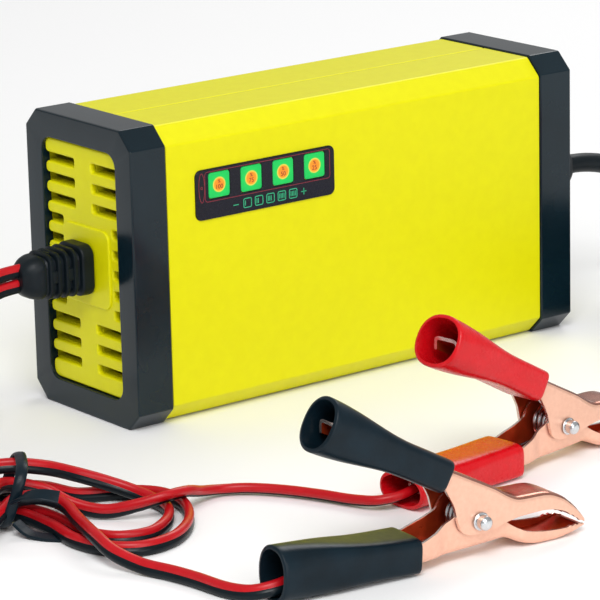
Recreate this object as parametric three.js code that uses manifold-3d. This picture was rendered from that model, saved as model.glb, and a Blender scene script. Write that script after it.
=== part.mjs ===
// Car battery charger: a yellow two-part case with black end caps, its inner circuit,
// two twin 12 V leads that end in battery clamps, and a mains lead with its plug.
// Millimetres, +Z up. The case stands on its long narrow side, with the origin under its middle;
// +X points to the mains end, -Y to the side with the charge display.
import * as THREE from 'three';
import { mergeVertices } from 'three/addons/utils/BufferGeometryUtils.js';
import Module from 'manifold-3d';

const wasm = await Module();
wasm.setup();

// ---------------------------------------------------------------- driving dimensions
const GAP = 0.3;
const CASE = { length: 156, depth: 49.5, height: 82.7, chamfer: 5, wall: 2.2 };
const CAP = { width: 11.6, proud: 0.5, wall: 2, face: 2.6 };
const WINDOW = { halfWidth: 17.2, bottom: 7.4, top: 75.6, radius: 4 };
const PANEL = { plate: 2.5, recess: 1, halfWidth: 21.4, pillar: 3 };
const SLOT = { rows: 11, pitch: 5.6, first: 13.9, height: 2.5, reach: 18.2 };
const PAD = { left: 12.5, right: 9, bottom: 31.5, top: 53.5, rise: 0.6 };
const LEAD_HEIGHT = 42;
const RELIEF = { length: 21, halfWidth: 6.2, halfHeight: 7.1, ribs: 4, ribPitch: 2.5, ribWidth: 1.3 };
const NECK = { halfWidth: 4.6, halfHeight: 5.4 };
const DISPLAY = { x: -33.3, z: 62.2, width: 47.4, height: 13.9, thickness: 1 };
const LEVEL = { count: 4, pitch: 10.85, size: 7, firstX: -49.1, z: 64.4 };
const DISPLAY_BOARD = { y: -13.5, thickness: 1.6, left: -52.8, right: -9, bottom: 57, top: 71 };
const BOARD = { y: 13, thickness: 1.6, width: 104, bottom: 9, top: 74 };
const BOSS = { x: 57, low: 10, high: 72.7, radius: 3.8, bore: 1.75, sink: 3.1 };
const SCREW = { head: 2.7, headHeight: 2.2, shank: 1.4, sunk: 0.6, end: -12.8, crossReach: 1.6,
  crossHalf: 0.3 };
const CORE = { z: 41, legX: 14, legWidth: 5, yokeZ: 13, front: -11 };
const DEVICE = { halfWidth: 2.2, front: -4, back: 9, halfHeight: 5, tabFront: -9, tabHalf: 0.6 };
const FUSE = { x: 42, z: 14, radius: 2.4, length: 17, drop: 4, footX: 6.8, footHalf: 1.2 };
const CAN_SIZES = { input: [8, 24], output: [5, 19] };
const TWIN = { radius: 1.75, sides: 8 };
const MAINS = { radius: 2.9, sides: 12 };
const COIL = { x: 105, y: -75, radius: 32, layers: 3, lift: 0.1, corner: 2 };
const COIL_TIE = { angle: -2.2, halfWidth: 3, thickness: 1 };
const CORD_TIE = { at: [-144, -62.9, 8.6], towards: [0.87, -0.49, 0], halfWidth: 10.3, halfHeight: 8.5,
  thickness: 0.8, reach: 1.3 };
const PLUG = { y: -124, back: 72.4, length: 30, halfWidth: 12, height: 17, taper: 12, lift: 0.1 };
const BLADE = { offsets: [-6.35, 6.35], length: 17, rooted: 7.6, halfThickness: 0.75, bottom: 5.4, top: 11.8,
  holeFromTip: 4, holeRadius: 1.5 };

// Clamp, in its own frame: the rivet is the origin, x runs to the jaw tip, z up.
const ARM = { sheet: 0.9, halfWidth: 5.65, bend: 1.3 };
const RIVET = { radius: 1.7, hole: 2.05, height: 9.85, headRadius: 2.6 };
const SPRING = { wire: 0.62, radius: 4.4, turns: 3.5, pitch: 1.62, startAngle: 2.2 };
const SLEEVE = { wall: 1, upperGrip: [7.1, 4.2], lowerGrip: [7.1, 4.5], gripPower: 5.5, powerLoss: 3.2 };
const CLAMPS = [
  { name: 'black', x: -74.8, y: -155.6, yaw: -4, colour: 0x14181c,
    upperMouth: [6.2, 6.9], lowerMouth: [5.9, 6.9] },
  { name: 'red', x: -9.4, y: -113.2, yaw: 6, colour: 0xd8141c,
    upperMouth: [7.4, 6.9], lowerMouth: [7.7, 4.7] },
];

// ---------------------------------------------------------------- materials
function material(colour, roughness, metalness = 0) {
  return new THREE.MeshStandardMaterial({ color: colour, roughness, metalness });
}
const YELLOW = material(0xf0ec00, 0.42);
const BLACK = material(0x101c24, 0.28);
const RUBBER = material(0x15181b, 0.55);
const LABEL = material(0x12121c, 0.3);
const GREEN = material(0x18b060, 0.35);
const CLEAR = material(0xd8f0d0, 0.2);
const PCB = material(0x1c6a38, 0.5);
const FERRITE = material(0x2c2c30, 0.6);
const TAPE = material(0xe8c020, 0.5);
const CAN = material(0x20242c, 0.4);
const CHIP = material(0x16161a, 0.5);
const ALUMINIUM = material(0xb8bcc0, 0.4, 1);
const STEEL = material(0xc8ccd0, 0.28, 1);
const COPPER = material(0xe8b090, 0.32, 1);
const WINDING = material(0xb86a30, 0.4, 1);
const GLASS = material(0xd0d4d0, 0.15);
const RED_CORD = material(0xd41018, 0.45);

// ---------------------------------------------------------------- solid helpers
function solid(geometry) {
  const bare = geometry.clone();
  bare.deleteAttribute('normal');
  bare.deleteAttribute('uv');
  const merged = mergeVertices(bare, 1e-4);
  const vertProperties = Float32Array.from(merged.attributes.position.array);
  const triVerts = Uint32Array.from(merged.index.array);
  if (signedVolume(vertProperties, triVerts) < 0) triVerts.reverse();
  return new wasm.Manifold(new wasm.Mesh({ numProp: 3, vertProperties, triVerts }));
}

// Negative where the faces of a closed mesh point inward.
function signedVolume(positions, triangles) {
  const [a, b, c] = [new THREE.Vector3(), new THREE.Vector3(), new THREE.Vector3()];
  let volume = 0;
  for (let i = 0; i < triangles.length; i += 3) {
    a.fromArray(positions, 3 * triangles[i]);
    b.fromArray(positions, 3 * triangles[i + 1]);
    c.fromArray(positions, 3 * triangles[i + 2]);
    volume += a.dot(b.cross(c)) / 6;
  }
  return volume;
}

function geometryOf(manifold) {
  const mesh = manifold.getMesh();
  const geometry = new THREE.BufferGeometry();
  geometry.setAttribute('position', new THREE.BufferAttribute(mesh.vertProperties, 3));
  geometry.setIndex(new THREE.BufferAttribute(mesh.triVerts, 1));
  geometry.computeVertexNormals();
  return geometry;
}

function outline(points) {
  return new THREE.Shape(points.map(([a, b]) => new THREE.Vector2(a, b)));
}

function chamferedOutline(a0, a1, b0, b1, c) {
  return outline([[a0 + c, b0], [a1 - c, b0], [a1, b0 + c], [a1, b1 - c],
    [a1 - c, b1], [a0 + c, b1], [a0, b1 - c], [a0, b0 + c]]);
}

function roundedOutline(a0, a1, b0, b1, r) {
  const shape = new THREE.Shape();
  shape.absarc(a1 - r, b0 + r, r, -Math.PI / 2, 0);
  shape.absarc(a1 - r, b1 - r, r, 0, Math.PI / 2);
  shape.absarc(a0 + r, b1 - r, r, Math.PI / 2, Math.PI);
  shape.absarc(a0 + r, b0 + r, r, Math.PI, 1.5 * Math.PI);
  return shape;
}

function extrude(shape, depth, basis, start, curveSegments = 4) {
  const geometry = new THREE.ExtrudeGeometry(shape, { depth, bevelEnabled: false, curveSegments });
  geometry.applyMatrix4(new THREE.Matrix4().makeBasis(...basis));
  return solid(geometry.translate(start.x, start.y, start.z));
}
const X = new THREE.Vector3(1, 0, 0);
const Y = new THREE.Vector3(0, 1, 0);
const Z = new THREE.Vector3(0, 0, 1);

// Outline in (y, z), run along x.
function prismX(shape, x0, x1, curveSegments) {
  return extrude(shape, x1 - x0, [Y, Z, X], new THREE.Vector3(x0, 0, 0), curveSegments);
}

// Outline in (x, z), run along y.
function prismY(shape, y0, y1, curveSegments) {
  const basis = [X, Z, Y.clone().negate()];
  return extrude(shape, y1 - y0, basis, new THREE.Vector3(0, y1, 0), curveSegments);
}

function block(x0, x1, y0, y1, z0, z1) {
  const box = new THREE.BoxGeometry(x1 - x0, y1 - y0, z1 - z0);
  return solid(box.translate((x0 + x1) / 2, (y0 + y1) / 2, (z0 + z1) / 2));
}

// Round bar along y.
function barY(x, z, radius, y0, y1, segments = 16) {
  const bar = new THREE.CylinderGeometry(radius, radius, y1 - y0, segments);
  return solid(bar.translate(x, (y0 + y1) / 2, z));
}

// Turned piece about a line along y; the profile is [radius, y] from axis to axis.
function turnedY(profile, segments = 16) {
  return solid(new THREE.LatheGeometry(profile.map(([r, y]) => new THREE.Vector2(r, y)), segments));
}

function joined(pieces) {
  return pieces.reduce((whole, piece) => whole.add(piece));
}

function piece(name, shape, look) {
  const mesh = new THREE.Mesh(shape instanceof THREE.BufferGeometry ? shape : geometryOf(shape), look);
  mesh.name = name;
  return mesh;
}

// A closed skin through rings of points; every ring has the same number of points.
// With ends 'loop' the last ring meets the first one, as on a tube with a wall.
function skin(rings, ends = 'caps') {
  const count = rings[0].length;
  const positions = rings.flat().flatMap((p) => [p.x, p.y, p.z]);
  const index = [];
  const last = ends === 'loop' ? rings.length : rings.length - 1;
  for (let i = 0; i < last; i += 1) {
    const here = i * count;
    const next = ((i + 1) % rings.length) * count;
    for (let j = 0; j < count; j += 1) {
      const k = (j + 1) % count;
      index.push(here + j, here + k, next + k, here + j, next + k, next + j);
    }
  }
  if (ends === 'caps') {
    const flat = rings[0].map((p) => new THREE.Vector2(p.y, p.z));
    const faces = THREE.ShapeUtils.triangulateShape(flat, []);
    const end = (rings.length - 1) * count;
    faces.forEach(([a, b, c]) => index.push(a, c, b, end + a, end + b, end + c));
  }
  const geometry = new THREE.BufferGeometry();
  geometry.setAttribute('position', new THREE.Float32BufferAttribute(positions, 3));
  geometry.setIndex(index);
  return geometry;
}

// Value at x of a line through sorted [x, value] points.
function along(points, x) {
  const after = points.findIndex(([at]) => at >= x);
  if (after <= 0) return after === 0 ? points[0][1] : points[points.length - 1][1];
  const [x0, v0] = points[after - 1];
  const [x1, v1] = points[after];
  return v0 + (v1 - v0) * (x - x0) / (x1 - x0);
}

// ---------------------------------------------------------------- case
const HALF = CASE.length / 2;
const BODY_END = HALF - CAP.width - GAP;
const BODY_Y = CASE.depth / 2 - CAP.proud;
const BODY_TOP = CASE.height - CAP.proud;

// Eight-sided section of the case, moved in by `inset` from the body's outer face.
function caseSection(inset) {
  const corner = CASE.chamfer - 0.5858 * inset;
  return chamferedOutline(-BODY_Y + inset, BODY_Y - inset, CAP.proud + inset, BODY_TOP - inset, corner);
}

function caseTube() {
  const shell = prismX(caseSection(0), -BODY_END, BODY_END)
    .subtract(prismX(caseSection(CASE.wall), -HALF, HALF));
  const lipOut = CAP.wall + GAP - CAP.proud;
  const reach = BODY_END + 5.5;
  const lip = prismX(caseSection(lipOut), -reach, reach)
    .subtract(prismX(caseSection(lipOut + 1.4), -HALF, HALF))
    .subtract(prismX(caseSection(0), -BODY_END + 3, BODY_END - 3));
  return shell.add(lip);
}

const BOSSES = [[-BOSS.x, BOSS.low], [BOSS.x, BOSS.low], [-BOSS.x, BOSS.high], [BOSS.x, BOSS.high]];

function frontShell() {
  const half = caseTube().intersect(block(-HALF, HALF, -CASE.depth, -GAP / 2, 0, CASE.height));
  const skinY = -BODY_Y;
  const port = 2.6;
  const bosses = BOSSES.map(([x, z]) => barY(x, z, BOSS.radius, skinY + 1, -GAP / 2, 12));
  const bores = BOSSES.map(([x, z]) => barY(x, z, BOSS.bore, -14, 1, 10));
  const { x, z, width, height } = DISPLAY;
  const pocket = prismY(roundedOutline(x - width / 2 - GAP, x + width / 2 + GAP,
    z - height / 2 - GAP, z + height / 2 + GAP, 2), skinY - 1, skinY + 0.8, 3);
  const ports = levelCentres().map((cx) => {
    return block(cx - port, cx + port, skinY, skinY + 3, LEVEL.z - port, LEVEL.z + port);
  });
  return joined([half, ...bosses]).subtract(joined([pocket, ...bores])).subtract(joined(ports));
}

function backShell() {
  const half = caseTube().intersect(block(-HALF, HALF, GAP / 2, CASE.depth, 0, CASE.height));
  const bosses = BOSSES.map(([x, z]) => barY(x, z, BOSS.radius, GAP / 2, BODY_Y - 1, 12));
  const bores = BOSSES.map(([x, z]) => barY(x, z, BOSS.bore, -1, BODY_Y + 1, 10));
  const sinks = BOSSES.map(([x, z]) => barY(x, z, BOSS.sink, BODY_Y - 3.2, BODY_Y + 1, 12));
  const posts = [-40, 40].flatMap((x) => [20, 62].map((z) => {
    return barY(x, z, 3, BOARD.y + BOARD.thickness + GAP, BODY_Y - 1, 8);
  }));
  return joined([half, ...bosses, ...posts]).subtract(joined([...bores, ...sinks]));
}

function caseScrew([x, z]) {
  const { head, headHeight, shank, sunk, end, crossReach, crossHalf } = SCREW;
  const top = BODY_Y - sunk;
  const profile = [[0, top], [head, top], [head, top - headHeight], [shank, top - headHeight],
    [shank, end + 0.8], [0, end]];
  const turned = turnedY(profile.reverse(), 12).translate([x, 0, z]);
  const arms = [[crossReach, crossHalf], [crossHalf, crossReach]].map(([dx, dz]) => {
    return block(x - dx, x + dx, top - 1, top + 1, z - dz, z + dz);
  });
  return turned.subtract(joined(arms));
}

// Cap on the -X end; the other end's cap is the same piece turned half round.
function endCap() {
  const inner = -HALF + CAP.width;
  const outer = prismX(chamferedOutline(-CASE.depth / 2, CASE.depth / 2, 0, CASE.height, CASE.chamfer),
    -HALF, inner);
  const hollow = prismX(chamferedOutline(-CASE.depth / 2 + CAP.wall, CASE.depth / 2 - CAP.wall,
    CAP.wall, CASE.height - CAP.wall, CASE.chamfer - 0.5858 * CAP.wall), -HALF + CAP.face, inner + 1);
  const { halfWidth, bottom, top, radius } = WINDOW;
  const window = prismX(roundedOutline(-halfWidth, halfWidth, bottom, top, radius), -HALF - 1, inner, 3);
  return outer.subtract(hollow).subtract(window);
}

const PANEL_FACE = -HALF + PANEL.recess;
const PLATE_OUT = -HALF + CAP.face + GAP;
const PLATE_IN = PLATE_OUT + PANEL.plate;

function slotSpan(z, side) {
  const boxed = z > PAD.bottom - 1 && z < PAD.top;
  if (side < 0) return [-SLOT.reach, boxed ? -PAD.left - 0.9 : -4.6];
  return [boxed ? PAD.right + 0.6 : 3.4, SLOT.reach];
}

function ventPanel() {
  const plate = prismX(chamferedOutline(-PANEL.halfWidth, PANEL.halfWidth, 3.5, CASE.height - 3.5, 4),
    PLATE_OUT, PLATE_IN);
  const { halfWidth, bottom, top, radius } = WINDOW;
  const face = prismX(roundedOutline(-halfWidth + GAP, halfWidth - GAP, bottom + GAP, top - GAP, radius),
    PANEL_FACE, PLATE_IN, 3);
  const pad = prismX(roundedOutline(-PAD.left, PAD.right, PAD.bottom, PAD.top, 3),
    PANEL_FACE - PAD.rise, PANEL_FACE + 1, 3);
  const pillar = block(PLATE_OUT, PLATE_IN + PANEL.pillar, -4.3, 3.1, 8, 75);
  const slots = [];
  for (let row = 0; row < SLOT.rows; row += 1) {
    const z = SLOT.first + row * SLOT.pitch;
    for (const side of [-1, 1]) {
      const [y0, y1] = slotSpan(z, side);
      slots.push(block(-HALF, PLATE_IN + 1, y0, y1, z - SLOT.height / 2, z + SLOT.height / 2));
    }
  }
  const neck = reliefSection(NECK.halfWidth + GAP, NECK.halfHeight + GAP);
  return joined([plate, face, pad, pillar]).subtract(joined(slots))
    .subtract(prismX(neck, -HALF - 1, PLATE_IN + PANEL.pillar + 1, 1));
}

// ---------------------------------------------------------------- strain reliefs
function reliefSection(halfWidth, halfHeight) {
  return roundedOutline(-halfWidth, halfWidth, LEAD_HEIGHT - halfHeight, LEAD_HEIGHT + halfHeight,
    Math.min(halfWidth, halfHeight) * 0.45);
}

// Ribbed sleeve on the -X end, from its flange on the pad out to its nose.
function strainRelief() {
  const base = PANEL_FACE - PAD.rise - GAP;
  const nose = base - RELIEF.length;
  const inside = PLATE_IN + PANEL.pillar + GAP;
  const slab = (from, to, scale) => prismX(
    reliefSection(RELIEF.halfWidth * scale, RELIEF.halfHeight * scale), from, to, 1);
  const parts = [
    prismX(reliefSection(NECK.halfWidth, NECK.halfHeight), nose + 4, inside + 2, 1),
    slab(base - 3.9, base, 1),
    slab(inside, inside + 2, 0.95),
  ];
  for (let rib = 0; rib < RELIEF.ribs; rib += 1) {
    const at = base - 6.4 - rib * RELIEF.ribPitch;
    parts.push(slab(at, at + RELIEF.ribWidth, 0.93 - rib * 0.02));
  }
  parts.push(slab(nose + 2.4, nose + 5.2, 0.84));
  parts.push(slab(nose, nose + 2.6, 0.68));
  return joined(parts);
}

// ---------------------------------------------------------------- charge display
function levelCentres() {
  return Array.from({ length: LEVEL.count }, (_, i) => LEVEL.firstX + i * LEVEL.pitch);
}

const PLATE_BACK = -BODY_Y + 0.5;

function displayPlate() {
  const { x, z, width, height, thickness } = DISPLAY;
  const plate = prismY(roundedOutline(x - width / 2, x + width / 2, z - height / 2, z + height / 2, 2),
    PLATE_BACK - thickness, PLATE_BACK, 3);
  const half = LEVEL.size / 2 + GAP / 2;
  const holes = levelCentres().map((cx) => {
    return block(cx - half, cx + half, PLATE_BACK - 2, PLATE_BACK + 1, LEVEL.z - half, LEVEL.z + half);
  });
  return plate.subtract(joined(holes));
}

function levelWindow(x) {
  const half = LEVEL.size / 2 - GAP / 2;
  return prismY(roundedOutline(x - half, x + half, LEVEL.z - half, LEVEL.z + half, 0.8),
    PLATE_BACK - DISPLAY.thickness, PLATE_BACK, 1);
}

function led(x) {
  const base = DISPLAY_BOARD.y - GAP;
  const tip = -BODY_Y + 2.6;
  const profile = [[0, base], [1.9, base], [1.9, base - 1], [1.5, base - 1], [1.5, tip + 1.3],
    [1.1, tip + 0.4], [0, tip]];
  return turnedY(profile.reverse(), 8).translate([x, 0, LEVEL.z]);
}

// ---------------------------------------------------------------- circuit board and its parts
const BOARD_FACE = BOARD.y - GAP;

function mainBoard() {
  const half = BOARD.width / 2;
  return block(-half, half, BOARD.y, BOARD.y + BOARD.thickness, BOARD.bottom, BOARD.top);
}

// Core as a frame: two outer legs and a yoke at each end, round the winding.
function transformerCore() {
  const { z, legX, legWidth, yokeZ, front } = CORE;
  const back = BOARD_FACE - 1.5;
  const halfLeg = legWidth / 2;
  const halfYoke = 2.6;
  const yokes = [-1, 1].map((side) => {
    const middle = z + side * yokeZ;
    return block(-legX, legX, front, back, middle - halfYoke, middle + halfYoke);
  });
  const legs = [-1, 1].map((side) => {
    const middle = side * legX;
    return block(middle - halfLeg, middle + halfLeg, front, back, z - yokeZ - halfYoke, z + yokeZ + halfYoke);
  });
  return joined([...yokes, ...legs]);
}

function transformerWinding() {
  return block(-11, 11, -14, BOARD_FACE - 0.4, 30.9, 51.1);
}

// Round can on the board, axis along y.
function can(x, z, [radius, length]) {
  const top = BOARD_FACE - length;
  const profile = [[0, top], [radius - 0.6, top], [radius, top + 0.6], [radius, BOARD_FACE - 1.8],
    [radius - 0.5, BOARD_FACE - 1.3], [radius, BOARD_FACE - 0.8], [radius, BOARD_FACE], [0, BOARD_FACE]];
  return turnedY(profile, 12).translate([x, 0, z]);
}

function choke(x, z, outer, inner, depth) {
  const y1 = BOARD_FACE;
  const y0 = y1 - depth;
  const c = 1.2;
  const ring = [[inner, y0 + c], [inner + c, y0], [outer - c, y0], [outer, y0 + c],
    [outer, y1 - c], [outer - c, y1], [inner + c, y1], [inner, y1 - c], [inner, y0 + c]];
  return turnedY(ring, 14).translate([x, 0, z]);
}

// Finned plate standing on the board; the fins point along `side`.
function heatsink(x, side) {
  const wall = block(x - 1, x + 1, -10.5, BOARD_FACE, 18, 64);
  const fins = [21, 29, 37, 45, 53, 61].map((z) => {
    const end = x + side * 9;
    return block(Math.min(x, end), Math.max(x, end), -10.5, BOARD_FACE, z - 0.7, z + 0.7);
  });
  return joined([wall, ...fins]);
}

// Power device with its metal tab, against a heatsink's flat side.
function powerDevice(x, z) {
  const { halfWidth, front, back, halfHeight, tabFront, tabHalf } = DEVICE;
  const body = block(x - halfWidth, x + halfWidth, front, back, z - halfHeight, z + halfHeight);
  return body.add(block(x - tabHalf, x + tabHalf, tabFront, front + 1, z - halfHeight, z + halfHeight));
}

function fuse() {
  const { x, z, radius, length, drop, footX, footHalf } = FUSE;
  const body = new THREE.CylinderGeometry(radius, radius, length, 12).rotateZ(Math.PI / 2);
  const glass = solid(body.translate(x, BOARD_FACE - drop, z));
  const feet = [-1, 1].map((side) => {
    const middle = x + side * footX;
    return block(middle - footHalf, middle + footHalf, BOARD_FACE - drop, BOARD_FACE, z - 2, z + 2);
  });
  return joined([glass, ...feet]);
}

// ---------------------------------------------------------------- battery clamp
const SPINE = [[-39, 30.9], [-8.8, 14.7], [4, 7.9], [12.4, 3.4], [15.5, 3.2], [18.4, 3.1], [21, 2.8],
  [23.3, 2.0], [26, 0.5], [28, -1.2], [30, -3.2], [31.4, -5], [32.2, -6.1]];
const UPPER_EDGE = [[-39, 27.3], [-16, 15], [-12.4, 12.6], [-10.8, 10.8], [-8.9, 7.6], [-7.4, 4.6],
  [-6.8, 2], [-6.2, -0.6], [-4.4, -2.5], [-1.6, -3.3], [1.6, -3.4], [5, -2.8], [8.8, -1.9],
  [12.4, -1.4], [18.4, -1.3], [22, -1.7], [25, -2.6], [28, -4.2], [30.4, -5.9], [32.2, -7.05]];
const KEEL = [[-49, -7.8], [-18, -7.45], [4, -6.8], [8, -6.6], [10, -7.1], [12, -8.1], [15, -9.1],
  [18, -9.65], [22.6, -9.7], [26, -9.25], [28.6, -8.7], [32, -7.9]];
const LOWER_EDGE = [[-49, -4.2], [-19.1, -2.6], [-13, -0.9], [-9, 0.9], [-6.6, 1.9], [-5.6, 3.4],
  [-3.4, 5.6], [0, 6.5], [3.4, 5.5], [5.6, 3], [7.2, -0.6], [8.8, -2.4], [12, -4.6], [15, -5.9],
  [18.4, -6.6], [22, -7], [25, -7.2], [28, -7.25], [32, -7.45]];
const UPPER_WIDTH = [[-39, 4.1], [-16, 4.9], [-9, 5.65], [28, 5.65], [32.2, 4.9]];
const LOWER_WIDTH = [[-49, 4.1], [-24, 5], [-17, 5.65], [-13, 5.4], [-9, 4.4], [8, 4.4], [14, 5.65],
  [28, 5.65], [32, 4.9]];

// Sheet folded to a U: `fold` is the line of its back, `edge` that of its two free edges.
function channel(fold, edge, width) {
  const stations = new Set([...fold, ...edge, ...width].map(([x]) => x));
  const sorted = [...stations].sort((a, b) => a - b);
  const kept = sorted.filter((x, i) => i === 0 || i === sorted.length - 1 || x - sorted[i - 1] > 0.7);
  return skin(kept.map((x) => channelRing(x, fold, edge, width)));
}

function channelRing(x, fold, edge, width) {
  const back = along(fold, x);
  const free = along(edge, x);
  const up = Math.sign(back - free);
  const slope = along(fold, x + 0.5) - along(fold, x - 0.5);
  const room = Math.abs(back - free);
  const thick = Math.min(ARM.sheet * Math.hypot(1, slope), room - 0.25);
  const bend = Math.min(ARM.bend, room * 0.4);
  const w = along(width, x);
  const inside = w - ARM.sheet;
  const ring = [[-w, free], [-w, back - up * bend], [-w + bend, back], [w - bend, back],
    [w, back - up * bend], [w, free], [inside, free], [inside, back - up * thick],
    [-inside, back - up * thick], [-inside, free]];
  const points = ring.map(([y, z]) => new THREE.Vector3(x, y, z));
  return up > 0 ? points.reverse() : points;
}

function arm(fold, edge, width) {
  const hole = barY(0, 0, RIVET.hole, -9, 9, 12);
  return solid(channel(fold, edge, width)).subtract(hole);
}

function rivet() {
  const grip = ARM.halfWidth + GAP;
  const { radius: shank, headRadius } = RIVET;
  const half = [[0, grip + 3], [1.6, grip + 2.2], [1.75, grip + 0.7], [headRadius, grip + 0.7],
    [headRadius, grip], [shank, grip]];
  const mirrored = half.map(([radius, y]) => [radius, -y]).reverse();
  return turnedY([...half, ...mirrored].reverse(), 10);
}

// Torsion spring round the rivet, with one leg up each handle.
function spring() {
  const { wire, radius, turns, pitch, startAngle } = SPRING;
  const side = turns * pitch / 2;
  const points = route([[-17, -side, 15.6], [-10, -side, 10.6]]);
  const steps = Math.round(turns * 9);
  for (let i = 0; i <= steps; i += 1) {
    const angle = startAngle - (i / steps) * turns * 2 * Math.PI;
    const y = (i / steps - 0.5) * 2 * side;
    points.push(new THREE.Vector3(radius * Math.cos(angle), y, radius * Math.sin(angle)));
  }
  points.push(...route([[-9, side, -5.1], [-18, side, -5.5]]));
  return tube(points, wire, 5, steps + 9);
}

// Oval ring of points across the sleeve's axis, boxy for a high power.
function ovalRing(centre, direction, halfWidth, halfHeight, power, count = 16) {
  const side = new THREE.Vector3(0, 0, 1).cross(direction).normalize();
  const across = direction.clone().cross(side);
  return Array.from({ length: count }, (_, i) => {
    const angle = (i + 0.5) / count * 2 * Math.PI;
    const c = Math.cos(angle);
    const s = Math.sin(angle);
    const y = Math.sign(c) * Math.abs(c) ** (2 / power) * halfWidth;
    const n = Math.sign(s) * Math.abs(s) ** (2 / power) * halfHeight;
    return centre.clone().addScaledVector(across, n).addScaledVector(side, y);
  });
}

// Soft sleeve: flat and boxy where it grips the arm, flared and round at its mouth.
function sleeve(front, rear, gripSize, mouthSize) {
  const from = new THREE.Vector3(front[0], 0, front[1]);
  const to = new THREE.Vector3(rear[0], 0, rear[1]);
  const direction = to.clone().sub(from).normalize();
  const steps = [0, 0.25, 0.5, 0.7, 0.87, 1];
  const rings = (wall) => steps.map((t) => {
    const flare = t * t * (3 - 2 * t);
    const width = gripSize[0] + (mouthSize[0] - gripSize[0]) * flare - wall;
    const height = gripSize[1] + (mouthSize[1] - gripSize[1]) * flare ** 1.3 - wall;
    const power = SLEEVE.gripPower - SLEEVE.powerLoss * flare;
    return ovalRing(from.clone().lerp(to, t), direction, width, height, power);
  });
  return skin([...rings(0), ...rings(SLEEVE.wall).reverse()], 'loop');
}

function clampPieces({ name, colour, upperMouth, lowerMouth }) {
  const soft = material(colour, 0.4);
  const floor = -RIVET.height + 0.05;
  const upperAxis = [[-9.4, 12.7], [-42.1, 30.9]];
  const lowerAxis = [[-17.8, floor + 4.7], [-55.9, floor + lowerMouth[1]]];
  return [
    piece(`${name}_upper_arm`, arm(SPINE, UPPER_EDGE, UPPER_WIDTH), COPPER),
    piece(`${name}_lower_arm`, arm(KEEL, LOWER_EDGE, LOWER_WIDTH), COPPER),
    piece(`${name}_upper_sleeve`, sleeve(...upperAxis, SLEEVE.upperGrip, upperMouth), soft),
    piece(`${name}_lower_sleeve`, sleeve(...lowerAxis, SLEEVE.lowerGrip, lowerMouth), soft),
    piece(`${name}_rivet`, rivet(), STEEL),
    piece(`${name}_spring`, spring(), STEEL),
  ];
}

function clamp(spec) {
  const group = new THREE.Group();
  group.add(...clampPieces(spec));
  group.position.set(spec.x, spec.y, RIVET.height);
  group.rotation.z = THREE.MathUtils.degToRad(spec.yaw);
  return group;
}

// ---------------------------------------------------------------- cords
function tube(points, radius, sides, steps) {
  const path = new THREE.CatmullRomCurve3(points, false, 'centripetal');
  const section = new THREE.Shape(Array.from({ length: sides }, (_, i) => {
    const angle = i / sides * 2 * Math.PI;
    return new THREE.Vector2(radius * Math.cos(angle), radius * Math.sin(angle));
  }));
  return solid(new THREE.ExtrudeGeometry(section, { steps, extrudePath: path, bevelEnabled: false }));
}

function route(points) {
  return points.map(([x, y, z]) => new THREE.Vector3(x, y, z));
}

const RED_CLAMP_ROUTE = [
  [-99.6, 0, 44.3], [-106, 0, 43.6], [-116, -1, 40], [-124, -5, 31], [-130, -11, 20], [-137, -20, 10],
  [-144, -30, 5.5], [-150, -41, 6.5], [-150, -51.5, 11.5], [-142, -59.3, 13.6], [-133.5, -62.5, 12],
  [-125, -63, 8.6], [-117.5, -67, 5.4], [-112.5, -73, 3], [-111, -79.5, 1.87], [-113, -86.5, 1.87],
  [-119, -93.5, 1.87], [-127, -97.5, 1.87], [-134.5, -95, 1.87], [-138.4, -87, 1.87], [-137.8, -77, 1.87],
  [-138.7, -69, 2.3], [-143.5, -62, 3.2], [-151, -56.8, 2.8], [-159, -52.5, 1.87], [-168, -52.5, 1.87],
  [-174.5, -58.5, 1.87], [-176, -67.5, 3], [-171, -75.5, 5.8], [-162.5, -77.3, 8.6], [-155, -71.8, 10.6],
  [-149.5, -65, 10.8], [-143.5, -62, 9.6], [-135.5, -64.5, 6.9], [-131, -70, 3.6], [-125.5, -76.5, 2.2],
  [-119.5, -82.5, 4], [-113, -86, 5.8], [-106.5, -85.2, 5.4], [-100, -82, 3.2], [-93.5, -81, 1.95],
  [-87.5, -84.5, 1.87], [-81.5, -92, 1.87], [-76.8, -101, 1.87], [-73, -110.5, 1.95], [-70, -116.5, 2.6],
  [-65, -118.9, 3.4], [-59.5, -118.5, 3.7]];
const BLACK_CLAMP_ROUTE = [
  [-99.6, 0, 40.2], [-106, 0, 39.4], [-114, -1.5, 35.5], [-119.5, -6, 27], [-124.5, -12.5, 16],
  [-131, -22, 6.4], [-138, -32, 2.4], [-146, -42, 2.6], [-148.8, -50.5, 5.2], [-143.5, -57.2, 7.4],
  [-133, -60.5, 6], [-124, -62, 2.6], [-114.5, -65.5, 1.87], [-107.5, -72.5, 1.87], [-106.2, -80.5, 1.87],
  [-109, -89, 1.87], [-116, -98.5, 1.87], [-125.5, -104.5, 1.87], [-134.5, -104.5, 1.87],
  [-140.8, -98.5, 1.87], [-143, -89, 1.87], [-142, -77, 2.1], [-145.7, -66, 3.4], [-153, -61.4, 2.6],
  [-161, -58.6, 1.87], [-168.2, -60.2, 1.87], [-171.2, -66.5, 1.95], [-167, -72, 2.2], [-159, -72.8, 3.6],
  [-151.5, -69.6, 5.8], [-145, -67, 7.2], [-139.3, -69.4, 7.2], [-137.6, -76, 6.8], [-140, -86, 5.9],
  [-144, -99.5, 5.8], [-144.6, -108, 4], [-142, -115.5, 2.2], [-139.4, -123, 1.87], [-137.6, -132, 1.87],
  [-136.6, -141, 1.87], [-134.3, -148, 2.4], [-130.2, -151.5, 3.4], [-125, -152.1, 3.9]];
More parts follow.
